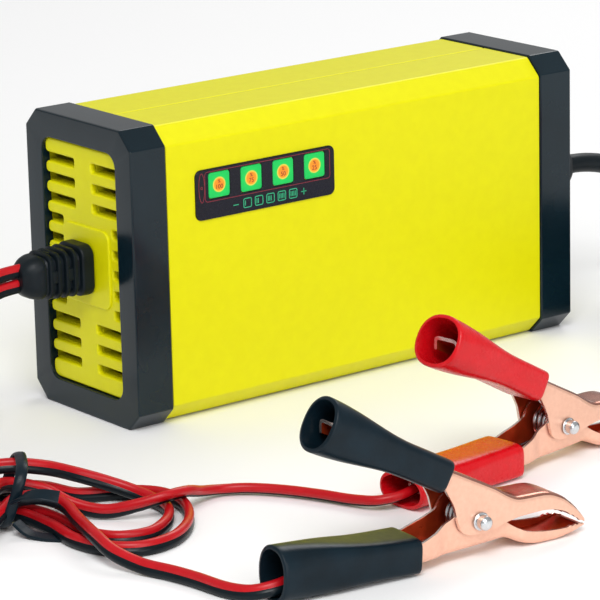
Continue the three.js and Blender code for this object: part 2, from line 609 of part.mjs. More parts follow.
const MAINS_ROUTE = [
  [99.7, 0, 42], [106, 0, 41.6], [117, -0.5, 38.6], [126.5, -4, 31], [133, -11, 20.5],
  [137.5, -21, 10.5], [140, -32, 5], [140.7, -43, 3.3], [139.9, -52.2, 3]];
const PLUG_ROUTE = [
  [93, -115.6, 3], [86, -118.7, 4], [80, -122.2, 6.4], [75.6, -123.8, 8.2], [72.8, -124, 8.6]];

// The stored length of the mains lead, as the outer shape of its turns.
function mainsCoil() {
  const wide = 2 * MAINS.radius;
  const high = COIL.layers * 2 * MAINS.radius;
  const c = COIL.corner;
  const inner = COIL.radius - wide;
  const outer = COIL.radius + wide;
  const ring = [[inner, c], [inner + c, 0], [outer - c, 0], [outer, c],
    [outer, high - c], [outer - c, high], [inner + c, high], [inner, high - c], [inner, c]];
  const geometry = new THREE.LatheGeometry(ring.map(([r, z]) => new THREE.Vector2(r, z)), 28);
  geometry.rotateX(Math.PI / 2);
  return solid(geometry.translate(COIL.x, COIL.y, COIL.lift));
}

// Band round the bundle of both clamp leads.
function cordTie() {
  const { at, towards, halfWidth, halfHeight, thickness, reach } = CORD_TIE;
  const centre = new THREE.Vector3(...at);
  const direction = new THREE.Vector3(...towards).normalize();
  const band = (inset) => [-reach, reach].map((shift) => {
    const middle = centre.clone().addScaledVector(direction, shift);
    return ovalRing(middle, direction, halfWidth - inset, halfHeight - inset, 4);
  });
  return skin([...band(0), ...band(thickness).reverse()], 'loop');
}

// Strap over the coil's turns, on its -Y side.
function coilTie() {
  const { angle, halfWidth, thickness } = COIL_TIE;
  const wide = 2 * MAINS.radius + 2 * GAP;
  const high = COIL.layers * 2 * MAINS.radius + COIL.lift + GAP;
  const [near, far] = [COIL.radius - wide, COIL.radius + wide];
  const lift = COIL.lift / 2;
  const outer = block(near - thickness, far + thickness, -halfWidth, halfWidth, lift, high + thickness);
  const inner = block(near, far, -halfWidth - 1, halfWidth + 1, -1, high);
  const strap = outer.subtract(inner);
  return strap.rotate([0, 0, THREE.MathUtils.radToDeg(angle)]).translate([COIL.x, COIL.y, 0]);
}

// Plug on the far end of the mains lead, lying on the floor; its blades point along -X.
function plugBody() {
  const { y, back, length, halfWidth, height, taper, lift } = PLUG;
  const face = back - length;
  const edges = [[face, y - halfWidth], [back - taper, y - halfWidth], [back - 1, y - 6],
    [back, y - 4.5], [back, y + 4.5], [back - 1, y + 6], [back - taper, y + halfWidth],
    [face, y + halfWidth]];
  const shape = new THREE.ExtrudeGeometry(outline(edges), { depth: height, bevelEnabled: false });
  const room = BLADE.halfThickness + 0.35;
  const sockets = BLADE.offsets.map((dy) => {
    return block(face - 1, face + 8, y + dy - room, y + dy + room, BLADE.bottom - 0.4, BLADE.top + 0.4);
  });
  return solid(shape.translate(0, 0, lift)).subtract(joined(sockets));
}

function plugBlade(dy) {
  const { length, rooted, halfThickness, bottom, top, holeFromTip, holeRadius } = BLADE;
  const y = PLUG.y + dy;
  const face = PLUG.back - PLUG.length;
  const tip = face - length;
  const blade = block(tip, face + rooted, y - halfThickness, y + halfThickness, bottom, top);
  return blade.subtract(barY(tip + holeFromTip, (bottom + top) / 2, holeRadius, y - 2, y + 2, 10));
}

// ---------------------------------------------------------------- assembly
function turnedRound(manifold) {
  return manifold.rotate([0, 0, 180]);
}

function casePieces() {
  const vent = ventPanel();
  const relief = strainRelief();
  return [
    piece('body_front_shell', frontShell(), YELLOW),
    piece('body_back_shell', backShell(), YELLOW),
    piece('left_end_cap', endCap(), BLACK),
    piece('right_end_cap', turnedRound(endCap()), BLACK),
    piece('left_vent_panel', vent, YELLOW),
    piece('right_vent_panel', turnedRound(vent), YELLOW),
    piece('dc_strain_relief', relief, RUBBER),
    piece('mains_strain_relief', turnedRound(relief), RUBBER),
    ...BOSSES.map((place, i) => piece(`case_screw_${i + 1}`, caseScrew(place), STEEL)),
  ];
}

function displayPieces() {
  const { y, thickness, left, right, bottom, top } = DISPLAY_BOARD;
  const board = block(left, right, y, y + thickness, bottom, top);
  return [
    piece('display_plate', displayPlate(), LABEL),
    piece('display_board', board, PCB),
    ...levelCentres().map((x, i) => piece(`level_window_${i + 1}`, levelWindow(x), GREEN)),
    ...levelCentres().map((x, i) => piece(`level_led_${i + 1}`, led(x), CLEAR)),
  ];
}

function circuitPieces() {
  return [
    piece('main_circuit_board', mainBoard(), PCB),
    piece('transformer_core', transformerCore(), FERRITE),
    piece('transformer_winding', transformerWinding(), TAPE),
    piece('input_capacitor', can(43, 27, CAN_SIZES.input), CAN),
    piece('output_capacitor_1', can(-41, 24, CAN_SIZES.output), CAN),
    piece('output_capacitor_2', can(-41, 37, CAN_SIZES.output), CAN),
    piece('input_choke', choke(42.5, 62, 8.5, 3.6, 9), WINDING),
    piece('output_choke', choke(-42.5, 62, 8.5, 3.6, 9), WINDING),
    piece('input_heatsink', heatsink(27, -1), ALUMINIUM),
    piece('output_heatsink', heatsink(-27, 1), ALUMINIUM),
    piece('switching_transistor', powerDevice(30.5, 56), CHIP),
    piece('output_diode', powerDevice(-30.5, 30), CHIP),
    piece('bridge_rectifier', block(45, 48.5, -4, BOARD_FACE, 37.5, 51), CHIP),
    piece('mains_fuse', fuse(), GLASS),
    piece('controller_chip', block(-9, 9, BOARD_FACE - 3, BOARD_FACE, 62, 69), CHIP),
  ];
}

function cordPieces() {
  return [
    piece('red_clamp_lead', tube(route(RED_CLAMP_ROUTE), TWIN.radius, TWIN.sides, 76), RED_CORD),
    piece('black_clamp_lead', tube(route(BLACK_CLAMP_ROUTE), TWIN.radius, TWIN.sides, 70), RED_CORD),
    piece('cord_tie', cordTie(), RUBBER),
    piece('mains_cord', tube(route(MAINS_ROUTE), MAINS.radius, MAINS.sides, 12), RUBBER),
    piece('mains_coil', mainsCoil(), RUBBER),
    piece('mains_coil_tie', coilTie(), RUBBER),
    piece('mains_cord_tail', tube(route(PLUG_ROUTE), MAINS.radius, MAINS.sides, 5), RUBBER),
    piece('mains_plug_body', plugBody(), RUBBER),
    ...BLADE.offsets.map((dy, i) => piece(`mains_plug_blade_${i + 1}`, plugBlade(dy), STEEL)),
  ];
}

const group = new THREE.Group();
group.add(...casePieces(), ...displayPieces(), ...circuitPieces(), ...cordPieces());
group.add(...CLAMPS.map(clamp));

export default group;
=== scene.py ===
"""Looks of the car battery charger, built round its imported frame.

Lengths are millimetres until a mesh is made. +X points to the mains end, -Y to the charge display.
"""
import math

import bmesh
import bpy
from mathutils import Matrix, Vector


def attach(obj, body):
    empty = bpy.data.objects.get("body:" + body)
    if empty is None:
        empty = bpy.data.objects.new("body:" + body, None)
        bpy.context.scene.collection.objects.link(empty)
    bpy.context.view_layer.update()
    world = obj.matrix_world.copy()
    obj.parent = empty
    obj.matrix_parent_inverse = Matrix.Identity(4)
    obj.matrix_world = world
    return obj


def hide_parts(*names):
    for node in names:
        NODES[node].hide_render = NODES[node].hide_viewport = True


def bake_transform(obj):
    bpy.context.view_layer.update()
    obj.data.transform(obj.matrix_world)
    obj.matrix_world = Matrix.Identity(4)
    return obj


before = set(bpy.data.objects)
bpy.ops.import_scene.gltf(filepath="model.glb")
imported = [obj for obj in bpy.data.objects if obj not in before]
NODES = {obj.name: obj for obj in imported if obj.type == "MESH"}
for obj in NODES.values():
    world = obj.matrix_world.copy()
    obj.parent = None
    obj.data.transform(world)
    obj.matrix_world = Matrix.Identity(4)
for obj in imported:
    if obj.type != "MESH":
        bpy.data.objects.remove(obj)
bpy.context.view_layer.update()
MM = 0.001
ROOT = "charger"

# ---------------------------------------------------------------- driving dimensions
HALF = 78.0
DEPTH = 49.5
HEIGHT = 82.7
CHAMFER = 5.0
CAP_WIDTH = 11.6
CAP_WALL = 2.0
CAP_FACE = 2.6
PROUD = 0.5
GAP = 0.3
BODY_END = HALF - CAP_WIDTH - GAP
BODY_Y = DEPTH / 2 - PROUD
BODY_TOP = HEIGHT - PROUD
LEAD_Z = 42.0
TWIN_LOBE = 1.22
TWIN_OFFSET = 0.74
MAINS_R = 2.9
COIL = (105.0, -75.0)
FLOOR_GAP = 0.03
SHARP = 38
# The camera's heading from +Y, its look downwards and its roll, in degrees.
CAMERA_TURN = (37.60, 15.22, -1.349)
CAMERA_SPOT = (-588.55, -759.52, 279.62)
LENS = 209.12
LIGHT_AIM = Vector((0, -0.06, 0.03))


# ---------------------------------------------------------------- camera
def make_camera():
    yaw, pitch, roll = (math.radians(a) for a in CAMERA_TURN)
    forward = Vector((math.sin(yaw) * math.cos(pitch), math.cos(yaw) * math.cos(pitch), -math.sin(pitch)))
    right = Vector((math.cos(yaw), -math.sin(yaw), 0))
    up = right.cross(forward)
    side = right * math.cos(roll) + up * math.sin(roll)
    top = -right * math.sin(roll) + up * math.cos(roll)
    data = bpy.data.cameras.new("camera")
    data.lens = LENS
    data.sensor_width = 36
    data.clip_start = 0.05
    data.clip_end = 50
    camera = placed("camera", data)
    turn = Matrix((side, top, -forward)).transposed().to_4x4()
    camera.matrix_world = Matrix.Translation(Vector(CAMERA_SPOT) * MM) @ turn
    bpy.context.scene.camera = camera


# ---------------------------------------------------------------- materials
def base_of(material):
    return material.node_tree.nodes["Principled BSDF"]


def shader(name, colour, roughness, metallic=0.0, **inputs):
    """Principled material; the other inputs are its sockets, with _ for a space in the name."""
    material = bpy.data.materials.new(name)
    material.use_nodes = True
    inputs.update(Base_Color=(*colour, 1), Roughness=roughness, Metallic=metallic)
    for key, value in inputs.items():
        base_of(material).inputs[key.replace("_", " ")].default_value = value
    return material


def node(material, kind, **values):
    """New node; a value goes to the socket of its name, or else to the node's own setting."""
    made = material.node_tree.nodes.new(kind)
    for key, value in values.items():
        socket = key.replace("_", " ")
        if socket in made.inputs:
            made.inputs[socket].default_value = value
        else:
            setattr(made, key, value)
    return made


def link(material, source, target):
    material.node_tree.links.new(source, target)


def drive(material, socket, source):
    link(material, source, base_of(material).inputs[socket])


def own_place(material):
    return node(material, "ShaderNodeTexCoord").outputs["Object"]


def noise(material, scale, detail, stretch=None):
    source = own_place(material)
    if stretch:
        mapping = node(material, "ShaderNodeMapping", Scale=stretch)
        link(material, source, mapping.inputs["Vector"])
        source = mapping.outputs["Vector"]
    texture = node(material, "ShaderNodeTexNoise", Scale=scale, Detail=detail, Roughness=0.55)
    link(material, source, texture.inputs["Vector"])
    return texture.outputs["Fac"]


def ramp(material, source, stops):
    made = node(material, "ShaderNodeValToRGB")
    elements = made.color_ramp.elements
    for i, (at, colour) in enumerate(stops):
        element = elements[i] if i < 2 else elements.new(at)
        element.position = at
        element.color = (*colour, 1)
    link(material, source, made.inputs["Fac"])
    return made.outputs["Color"]


def vary_colour(material, scale, low, high, detail=3.0, stretch=None):
    source = noise(material, scale, detail, stretch)
    drive(material, "Base Color", ramp(material, source, [(0.3, low), (0.7, high)]))


def vary_roughness(material, scale, low, high, stretch=None):
    spread = node(material, "ShaderNodeMapRange", To_Min=low, To_Max=high)
    link(material, noise(material, scale, 4.0, stretch), spread.inputs["Value"])
    drive(material, "Roughness", spread.outputs["Result"])


def bump(material, strength, *layers):
    """Adds one bump after another; a layer is (noise scale, depth in metres)."""
    normal = None
    for scale, depth in layers:
        made = node(material, "ShaderNodeBump", Strength=strength, Distance=depth)
        link(material, noise(material, scale, 2.0), made.inputs["Height"])
        if normal:
            link(material, normal, made.inputs["Normal"])
        normal = made.outputs["Normal"]
    drive(material, "Normal", normal)


def surface(name, colour, roughness, metallic=0.0, tint=None, gloss=None, grain=None, **inputs):
    """Shader varied in colour (tint), roughness (gloss) and height (grain), as their functions take them."""
    made = shader(name, colour, roughness, metallic, **inputs)
    for vary, settings in ((vary_colour, tint), (vary_roughness, gloss), (bump, grain)):
        if settings:
            vary(made, *settings)
    return made


def soft_black(name, colour, low, high):
    shades = [[c * share for c in colour] for share in (0.8, 1.35)]
    return surface(name, colour, low, tint=(130, *shades), gloss=(500, low, high),
                   grain=(0.6, (1500, 0.00005)), Specular_IOR_Level=0.2)


def red_vinyl(name, depth, low, high):
    return surface(name, (0.6 * depth, 0.004, 0.009), low,
                   tint=(300, (0.57 * depth, 0.003, 0.007), (0.63 * depth, 0.005, 0.011)),
                   gloss=(420, low, high), grain=(0.4, (1300, 0.00003)), Specular_IOR_Level=0.32,
                   Subsurface_Weight=0.08, Subsurface_Radius=(0.003, 0.0004, 0.0003), Subsurface_Scale=0.5)


def print_ink(name, colour):
    return surface(name, colour, 0.45, tint=(900, [c * 0.75 for c in colour], colour),
                   grain=(0.4, (4000, 0.00001)))


def speckled(name, low, high, roughness, scale, metallic=0.0):
    return surface(name, low, roughness, metallic, tint=(scale, low, high, 5.0),
                   gloss=(scale * 2, roughness * 0.85, roughness * 1.2), grain=(0.5, (scale * 3, 0.00005)))


def level_film_painted_glow():
    """Green film with the glow of the lit lamp behind it painted into its colour, as rings about the piece's
    own origin.
    """
    made = surface("level_film_painted_glow", (0.01, 0.55, 0.11), 0.3, grain=(0.5, (1600, 0.00002)),
                   Specular_IOR_Level=0.25)
    length = node(made, "ShaderNodeVectorMath", operation="LENGTH")
    link(made, own_place(made), length.inputs[0])
    share = node(made, "ShaderNodeMapRange", From_Max=0.005)
    link(made, length.outputs["Value"], share.inputs["Value"])
    stops = [(0.0, (0.86, 0.26, 0.02)), (0.33, (0.84, 0.30, 0.02)), (0.40, (0.80, 0.66, 0.08)),
             (0.45, (0.012, 0.60, 0.10)), (1.0, (0.008, 0.50, 0.10))]
    drive(made, "Base Color", ramp(made, share.outputs["Result"], stops))
    return made


def circuit_green():
    """Solder mask with copper tracks under it, as a grid of cells."""
    made = surface("circuit_green", (0.01, 0.11, 0.03), 0.3, grain=(0.5, (900, 0.00004)))
    cells = node(made, "ShaderNodeTexVoronoi", Scale=220.0, distance="CHEBYCHEV", feature="F1")
    link(made, own_place(made), cells.inputs["Vector"])
    stops = [(0.0, (0.02, 0.20, 0.05)), (0.42, (0.02, 0.17, 0.045)), (0.46, (0.006, 0.08, 0.02))]
    drive(made, "Base Color", ramp(made, cells.outputs["Distance"], stops))
    return made


def wound(name, low, high, pitch, metallic):
    """Wire or tape wound in turns: fine bands of two shades with a bump."""
    made = shader(name, low, 0.35, metallic)
    bands = node(made, "ShaderNodeTexWave", Scale=1 / pitch, Distortion=0.4)
    link(made, own_place(made), bands.inputs["Vector"])
    drive(made, "Base Color", ramp(made, bands.outputs["Fac"], [(0.2, low), (0.8, high)]))
    ridge = node(made, "ShaderNodeBump", Strength=0.8, Distance=0.0002)
    link(made, bands.outputs["Fac"], ridge.inputs["Height"])
    drive(made, "Normal", ridge.outputs["Normal"])
    return made


ALONG_SHEET = (0.3, 1, 1)
YELLOW = surface("yellow_plastic", (0.72, 0.69, 0.0), 0.42, gloss=(900, 0.36, 0.5),
                 tint=(300, (0.705, 0.672, 0.0), (0.73, 0.70, 0.0)),
                 grain=(0.4, (2600, 0.00004), (700, 0.000032)),
                 Specular_IOR_Level=0.22, Subsurface_Weight=0.1, Subsurface_Scale=0.6,
                 Subsurface_Radius=(0.003, 0.002, 0.0005))
BLACK = surface("black_plastic", (0.003, 0.009, 0.013), 0.14, Specular_IOR_Level=0.32,
                tint=(45, (0.002, 0.009, 0.014), (0.004, 0.014, 0.021)), gloss=(260, 0.11, 0.2),
                grain=(0.4, (900, 0.00002)))
RUBBER = soft_black("soft_black", (0.004, 0.008, 0.011), 0.34, 0.5)
LEAD_RED = red_vinyl("lead_red", 0.8, 0.28, 0.4)
LEAD_BLACK = soft_black("lead_black", (0.003, 0.007, 0.010), 0.24, 0.38)
SLEEVE_RED = red_vinyl("sleeve_red", 1.0, 0.2, 0.34)
SLEEVE_BLACK = soft_black("sleeve_black", (0.003, 0.010, 0.016), 0.28, 0.42)
COPPER = surface("copper_plate", (0.86, 0.50, 0.36), 0.38, 0.5, grain=(0.4, (2400, 0.00002)),
                 tint=(900, (0.83, 0.47, 0.335), (0.89, 0.53, 0.39), 6.0),
                 gloss=(700, 0.32, 0.46, (0.4, 1, 1)))
# Inside faces of the channels: the same copper painted dark red-brown, a painted shade with a painted red
# reflection.
COPPER_SHADED_IN = surface("copper_inside_painted_shade", (0.45, 0.055, 0.018), 0.26, 0.6, grain=(0.5, (900, 0.00005)),
                    tint=(160, (0.44, 0.035, 0.008), (0.66, 0.09, 0.022), 5.0), gloss=(400, 0.22, 0.42))
# Back of the upper jaw's fold: the same copper painted darker purple-brown, a painted reflection.
COPPER_FOLD_REFLECTION = surface("copper_fold_painted_reflection", (0.42, 0.17, 0.12), 0.22, 0.85, grain=(0.5, (1200, 0.00003)),
                      tint=(120, (0.30, 0.10, 0.07), (0.55, 0.25, 0.18), 5.0, ALONG_SHEET),
                      gloss=(500, 0.16, 0.3, ALONG_SHEET))
# Cut edges of the sheet: bare metal, painted paler than the steel as a painted highlight along the edges.
CUT_EDGE_HIGHLIGHT = surface("cut_edge_painted_highlight", (0.86, 0.72, 0.66), 0.16, 0.9, gloss=(900, 0.12, 0.24),
                   tint=(700, (0.72, 0.55, 0.48), (0.94, 0.84, 0.80)))
WIRE = surface("bare_copper", (0.86, 0.42, 0.22), 0.25, 1.0, grain=(0.5, (3000, 0.00005)),
               tint=(900, (0.72, 0.30, 0.14), (0.92, 0.5, 0.3)))
STEEL = surface("steel", (0.66, 0.68, 0.70), 0.2, 1.0, grain=(0.5, (2200, 0.00003)),
                tint=(350, (0.56, 0.58, 0.6), (0.74, 0.76, 0.78), 5.0), gloss=(900, 0.14, 0.32))
LABEL = surface("label_film", (0.002, 0.002, 0.008), 0.24, grain=(0.5, (1300, 0.00002)),
                tint=(90, (0.001, 0.001, 0.006), (0.003, 0.003, 0.011)), gloss=(600, 0.2, 0.34),
                Specular_IOR_Level=0.3)
GREEN_INK = print_ink("green_ink", (0.02, 0.42, 0.20))
RED_INK = print_ink("red_ink", (0.22, 0.012, 0.03))
DIGIT_INK = print_ink("digit_ink", (0.30, 0.02, 0.01))
# The level windows' film, with the lamp's glow painted in as colour.
LEVEL = level_film_painted_glow()


# ---------------------------------------------------------------- mesh helpers
def placed(name, data):
    """New object in the scene's own collection."""
    obj = bpy.data.objects.new(name, data)
    bpy.context.scene.collection.objects.link(obj)
    return obj


def evaluated(obj):
    """New mesh with the object's modifiers or curve settings applied."""
    graph = bpy.context.evaluated_depsgraph_get()
    return bpy.data.meshes.new_from_object(obj.evaluated_get(graph))


def curve_mesh(name, data):
    curve = placed(name, data)
    mesh = evaluated(curve)
    bpy.data.objects.remove(curve)
    return mesh


def weld(mesh, distance, face_out=False):
    work = bmesh.new()
    work.from_mesh(mesh)
    bmesh.ops.remove_doubles(work, verts=work.verts, dist=distance)
    if face_out:
        bmesh.ops.recalc_face_normals(work, faces=work.faces)
    work.to_mesh(mesh)
    work.free()


def mesh_piece(name, shape, materials, body=ROOT, sharp=SHARP, place=None, replaces=()):
    """shape is (points in mm, faces) or (points, faces, material index of each face)."""
    points, faces, *marks = shape
    mesh = bpy.data.meshes.new(name)
    spots = [Vector(p) for p in points]
    if place:
        spots = [place @ p for p in spots]
    mesh.from_pydata([p * MM for p in spots], [], faces)
    for material in materials if isinstance(materials, list) else [materials]:
        mesh.materials.append(material)
    if marks:
        mesh.polygons.foreach_set("material_index", marks[0])
    weld(mesh, 2e-6, face_out=True)
    return finished(name, mesh, body, sharp, replaces)


def finished(name, mesh, body=ROOT, sharp=SHARP, replaces=()):
    obj = placed(name, mesh)
    shade(obj, sharp)
    if body:
        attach(obj, body)
    if replaces:
        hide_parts(*replaces)
    return obj


def shade(obj, sharp=SHARP):
    """Smooth up to the sharp angle, with normals weighted by area so that flat faces look flat."""
    obj.data.polygons.foreach_set("use_smooth", [True] * len(obj.data.polygons))
    obj.data.set_sharp_from_angle(angle=math.radians(sharp))
    modifier = obj.modifiers.new("normals", "WEIGHTED_NORMAL")
    modifier.keep_sharp = True
    modifier.weight = 90
    bake(obj)


def bake(obj):
    mesh = evaluated(obj)
    obj.modifiers.clear()
    old = obj.data
    obj.data = mesh
    bpy.data.meshes.remove(old)


def merged(*shapes):
    points, faces = [], []
    for more_points, more_faces in shapes:
        faces += [[i + len(points) for i in face] for face in more_faces]
        points += more_points
    return points, faces


def loft(rings, ends="caps"):
    """Skin through closed rings with the same number of points; ends is caps or loop."""
    count = len(rings[0])
    points = [p for ring in rings for p in ring]
    starts = list(range(0, len(points), count))
    faces = []
    for here, after in zip(starts, starts[1:] + (starts[:1] if ends == "loop" else [])):
        for j in range(count):
            k = (j + 1) % count
            faces.append([here + j, here + k, after + k, after + j])
    if ends == "caps":
        faces.append(list(range(count))[::-1])
        faces.append([starts[-1] + j for j in range(count)])
    return points, faces


def rounded(corners, radii, steps=4):
    """Polygon with an arc of the same number of points at each corner."""
    count = len(corners)
    radii = radii if isinstance(radii, list) else [radii] * count
    out = []
    for i, corner in enumerate(corners):
        here = Vector(corner)
        back = Vector(corners[i - 1]) - here
        ahead = Vector(corners[(i + 1) % count]) - here
        half = back.angle(ahead) / 2
        reach = min(radii[i] / math.tan(half), back.length * 0.49, ahead.length * 0.49)
        back.normalize()
        ahead.normalize()
        middle = here + (back + ahead).normalized() * (reach * math.tan(half) / math.sin(half))
        start = here + back * reach - middle
        sweep = start.angle_signed(here + ahead * reach - middle)
        for step in range(steps + 1):
            out.append(tuple(middle + Matrix.Rotation(-sweep * step / steps, 2) @ start))
    return out


def octagon(half_width, low, high, chamfer):
    return [(-half_width + chamfer, low), (half_width - chamfer, low), (half_width, low + chamfer),
            (half_width, high - chamfer), (half_width - chamfer, high), (-half_width + chamfer, high),
            (-half_width, high - chamfer), (-half_width, low + chamfer)]


def rectangle(a0, a1, b0, b1):
    return [(a0, b0), (a1, b0), (a1, b1), (a0, b1)]


def soft_box(a, b, half_a, half_b, radius, steps=4):
    return rounded(rectangle(a - half_a, a + half_a, b - half_b, b + half_b), radius, steps)


def circle(count, first=0.0):
    """Angles round a circle; `first` is the first one as a share of a step."""
    return [2 * math.pi * (i + first) / count for i in range(count)]


def at_x(outline, x):
    return [(x, a, b) for a, b in outline]


def plate(name, loops, axis, low, high, edge, materials, **rest):
    """Flat piece with holes and rounded edges: loops lie across the axis, from low to high."""
    data = bpy.data.curves.new(name, "CURVE")
    data.dimensions = "2D"
    data.fill_mode = "BOTH"
    data.extrude = ((high - low) / 2 - edge) * MM
    data.bevel_depth = edge * MM
    data.bevel_resolution = 2
    data.offset = -edge * MM
    for loop in loops:
        spline = data.splines.new("POLY")
        spline.points.add(len(loop) - 1)
        for point, (a, b) in zip(spline.points, loop):
            point.co = (a * MM, b * MM, 0, 1)
        spline.use_cyclic_u = True
    mesh = curve_mesh(name, data)
    spots = [(v.co.x / MM, v.co.y / MM, v.co.z / MM + (low + high) / 2) for v in mesh.vertices]
    points = [(c, a, b) if axis == "X" else (a, c, b) for a, b, c in spots]
    shape = points, [list(p.vertices) for p in mesh.polygons]
    bpy.data.meshes.remove(mesh)
    return mesh_piece(name, shape, materials, **rest)


def cut(obj, *tools):
    """Subtracts the tool meshes from obj and removes them."""
    for tool in tools:
        modifier = obj.modifiers.new("cut", "BOOLEAN")
        modifier.object = tool
        modifier.operation = "DIFFERENCE"
        modifier.solver = "EXACT"
    bake(obj)
    for tool in tools:
        bpy.data.objects.remove(tool)
    shade(obj)
    return obj


def lathe(profile, sides, centre=(0, 0, 0)):
    """Shape turned about Y; the profile is [radius, place along Y], from axis to axis."""
    x, y, z = centre
    count = len(profile)
    points, faces = [], []
    for i, angle in enumerate(circle(sides)):
        here, after = i * count, ((i + 1) % sides) * count
        points += [(x + r * math.cos(angle), y + along, z + r * math.sin(angle)) for r, along in profile]
        faces += [[here + j, here + j + 1, after + j + 1, after + j] for j in range(count - 1)]
    return points, faces


def block(x0, x1, y0, y1, z0, z1, edge=0.3):
    """Box with rounded edges, as a loft along x."""
    outline = rounded(rectangle(y0, y1, z0, z1), edge * 1.5, 2)
    small = rounded(rectangle(y0 + edge, y1 - edge, z0 + edge, z1 - edge), edge * 0.6, 2)
    return loft([at_x(small, x0), at_x(outline, x0 + edge), at_x(outline, x1 - edge), at_x(small, x1)])


def superellipse(half_a, half_b, power, count):
    def bent(value):
        return math.copysign(abs(value) ** (2 / power), value)

    return [(bent(math.cos(t)) * half_a, bent(math.sin(t)) * half_b) for t in circle(count, 0.5)]


def smooth(share):
    return share * share * (3 - 2 * share)


# ---------------------------------------------------------------- paths and cords
FINE_STEPS = 16


def smooth_path(points, step):
    """Centripetal Catmull-Rom curve through the points, cut into equal steps."""
    spots = [Vector(p) for p in points]
    ends = [2 * spots[0] - spots[1]] + spots + [2 * spots[-1] - spots[-2]]
    fine = []
    for i in range(1, len(spots)):
        p0, p1, p2, p3 = ends[i - 1:i + 3]
        t1 = (p1 - p0).length ** 0.5
        t2 = t1 + (p2 - p1).length ** 0.5
        t3 = t2 + (p3 - p2).length ** 0.5
        for n in range(FINE_STEPS):
            t = t1 + (t2 - t1) * n / FINE_STEPS
            a1 = p0.lerp(p1, t / t1)
            a2 = p1.lerp(p2, (t - t1) / (t2 - t1))
            a3 = p2.lerp(p3, (t - t2) / (t3 - t2))
            b1 = a1.lerp(a2, t / t2)
            b2 = a2.lerp(a3, (t - t1) / (t3 - t1))
            fine.append(b1.lerp(b2, (t - t1) / (t2 - t1)))
    fine.append(spots[-1])
    return even_steps(fine, step)


def even_steps(fine, step):
    lengths = [0.0]
    for a, b in zip(fine, fine[1:]):
        lengths.append(lengths[-1] + (b - a).length)
    count = max(2, round(lengths[-1] / step))
    out, j = [], 0
    for i in range(count + 1):
        want = lengths[-1] * i / count
        while j < len(fine) - 2 and lengths[j + 1] < want:
            j += 1
        span = lengths[j + 1] - lengths[j]
        out.append(fine[j].lerp(fine[j + 1], (want - lengths[j]) / span if span else 0))
    return out


def tangents(path):
    out = [(b - a).normalized() for a, b in zip(path, path[2:])]
    return [(path[1] - path[0]).normalized()] + out + [(path[-1] - path[-2]).normalized()]


def tube_rings(path, radius, sides):
    """Rings round a path; radius is one number or one for each point."""
    radii = radius if isinstance(radius, list) else [radius] * len(path)
    normal = Vector((0.123, 0.05, 1))
    rings = []
    for point, ahead, reach in zip(path, tangents(path), radii):
        normal = (normal - ahead * normal.dot(ahead)).normalized()
        across = ahead.cross(normal)
        rings.append([point + (normal * math.cos(t) + across * math.sin(t)) * reach for t in circle(sides)])
    return rings


# Lines of the leads; a point with two numbers lies on the floor, with the line at LEAD_DOWN.
LEAD_DOWN = 1.87
RED_CLAMP_ROUTE = [
    (-96.5, 0, 44.3), (-99.6, 0, 44.3), (-106, 0, 43.6), (-116, -1, 40), (-124, -5, 31), (-130, -11, 20),
    (-137, -20, 10), (-144, -30, 5.5), (-150, -41, 6.5), (-150, -51.5, 11.5), (-142, -59.3, 13.6),
    (-133.5, -62.5, 12), (-125, -63, 8.6), (-117.5, -67, 5.4), (-112.5, -73, 3), (-111, -79.5),
    (-113, -86.5), (-119, -93.5), (-127, -97.5), (-134.5, -95), (-138.4, -87), (-137.8, -77),
    (-138.7, -69, 2.3), (-143.5, -62, 3.2), (-151, -56.8, 2.8), (-159, -52.5), (-168, -52.5),
    (-174.5, -58.5), (-176, -67.5, 3), (-171, -75.5, 5.8), (-162.5, -77.3, 8.6), (-155, -71.8, 10.6),
    (-149.5, -65, 10.8), (-143.5, -62, 9.6), (-135.5, -64.5, 6.9), (-131, -70, 3.6), (-125.5, -76.5, 2.2),
    (-119.5, -82.5, 4), (-113, -86, 5.8), (-106.5, -85.2, 5.4), (-100, -82, 3.2), (-93.5, -81, 1.95),
    (-87.5, -84.5), (-81.5, -92), (-76.8, -101), (-73, -110.5, 1.95), (-70, -116.5, 2.6),
    (-65, -118.9, 3.4), (-59.5, -118.5, 4.1), (-55, -118, 4.8), (-51, -117.6, 5.0)]
BLACK_CLAMP_ROUTE = [
    (-96.5, 0, 40.2), (-99.6, 0, 40.2), (-106, 0, 39.4), (-114, -1.5, 35.5), (-119.5, -6, 27),
    (-124.5, -12.5, 16), (-131, -22, 6.4), (-138, -32, 2.4), (-146, -42, 2.6), (-148.8, -50.5, 5.2),
    (-143.5, -57.2, 7.4), (-133, -60.5, 6), (-124, -62, 2.6), (-114.5, -65.5), (-107.5, -72.5),
    (-106.2, -80.5), (-109, -89), (-116, -98.5), (-125.5, -104.5), (-134.5, -104.5), (-140.8, -98.5),
    (-143, -89), (-142, -77, 2.1), (-145.7, -66, 3.4), (-153, -61.4, 2.6), (-161, -58.6), (-168.2, -60.2),
    (-171.2, -66.5, 1.95), (-167, -72, 2.2), (-159, -72.8, 3.6), (-151.5, -69.6, 5.8), (-145, -67, 7.2),
    (-139.3, -69.4, 7.2), (-137.6, -76, 6.8), (-140, -86, 5.9), (-144, -99.5, 5.8), (-144.6, -108, 4),
    (-142, -115.5, 2.2), (-139.4, -123), (-137.6, -132), (-136.6, -141), (-134.3, -148, 2.4),
    (-130.2, -151.5, 3.4), (-125, -152.1, 4.1), (-120, -152.4, 4.8), (-116, -152.7, 5.0)]
MAINS_ROUTE = [
    (96.5, 0, 42), (99.7, 0, 42), (106, 0, 41.6), (117, -0.5, 38.6), (126.5, -4, 31), (133, -11, 20.5),
    (137.5, -21, 10.5), (140, -32, 5), (140.7, -43, 3.3), (139.9, -52.2, 3), (139.9, -64, 3)]
TAIL_ROUTE = [(93, -115.6, 3), (86, -118.7, 4), (80, -122.2, 6.4), (75.6, -123.8, 8.2), (70, -124, 8.6)]

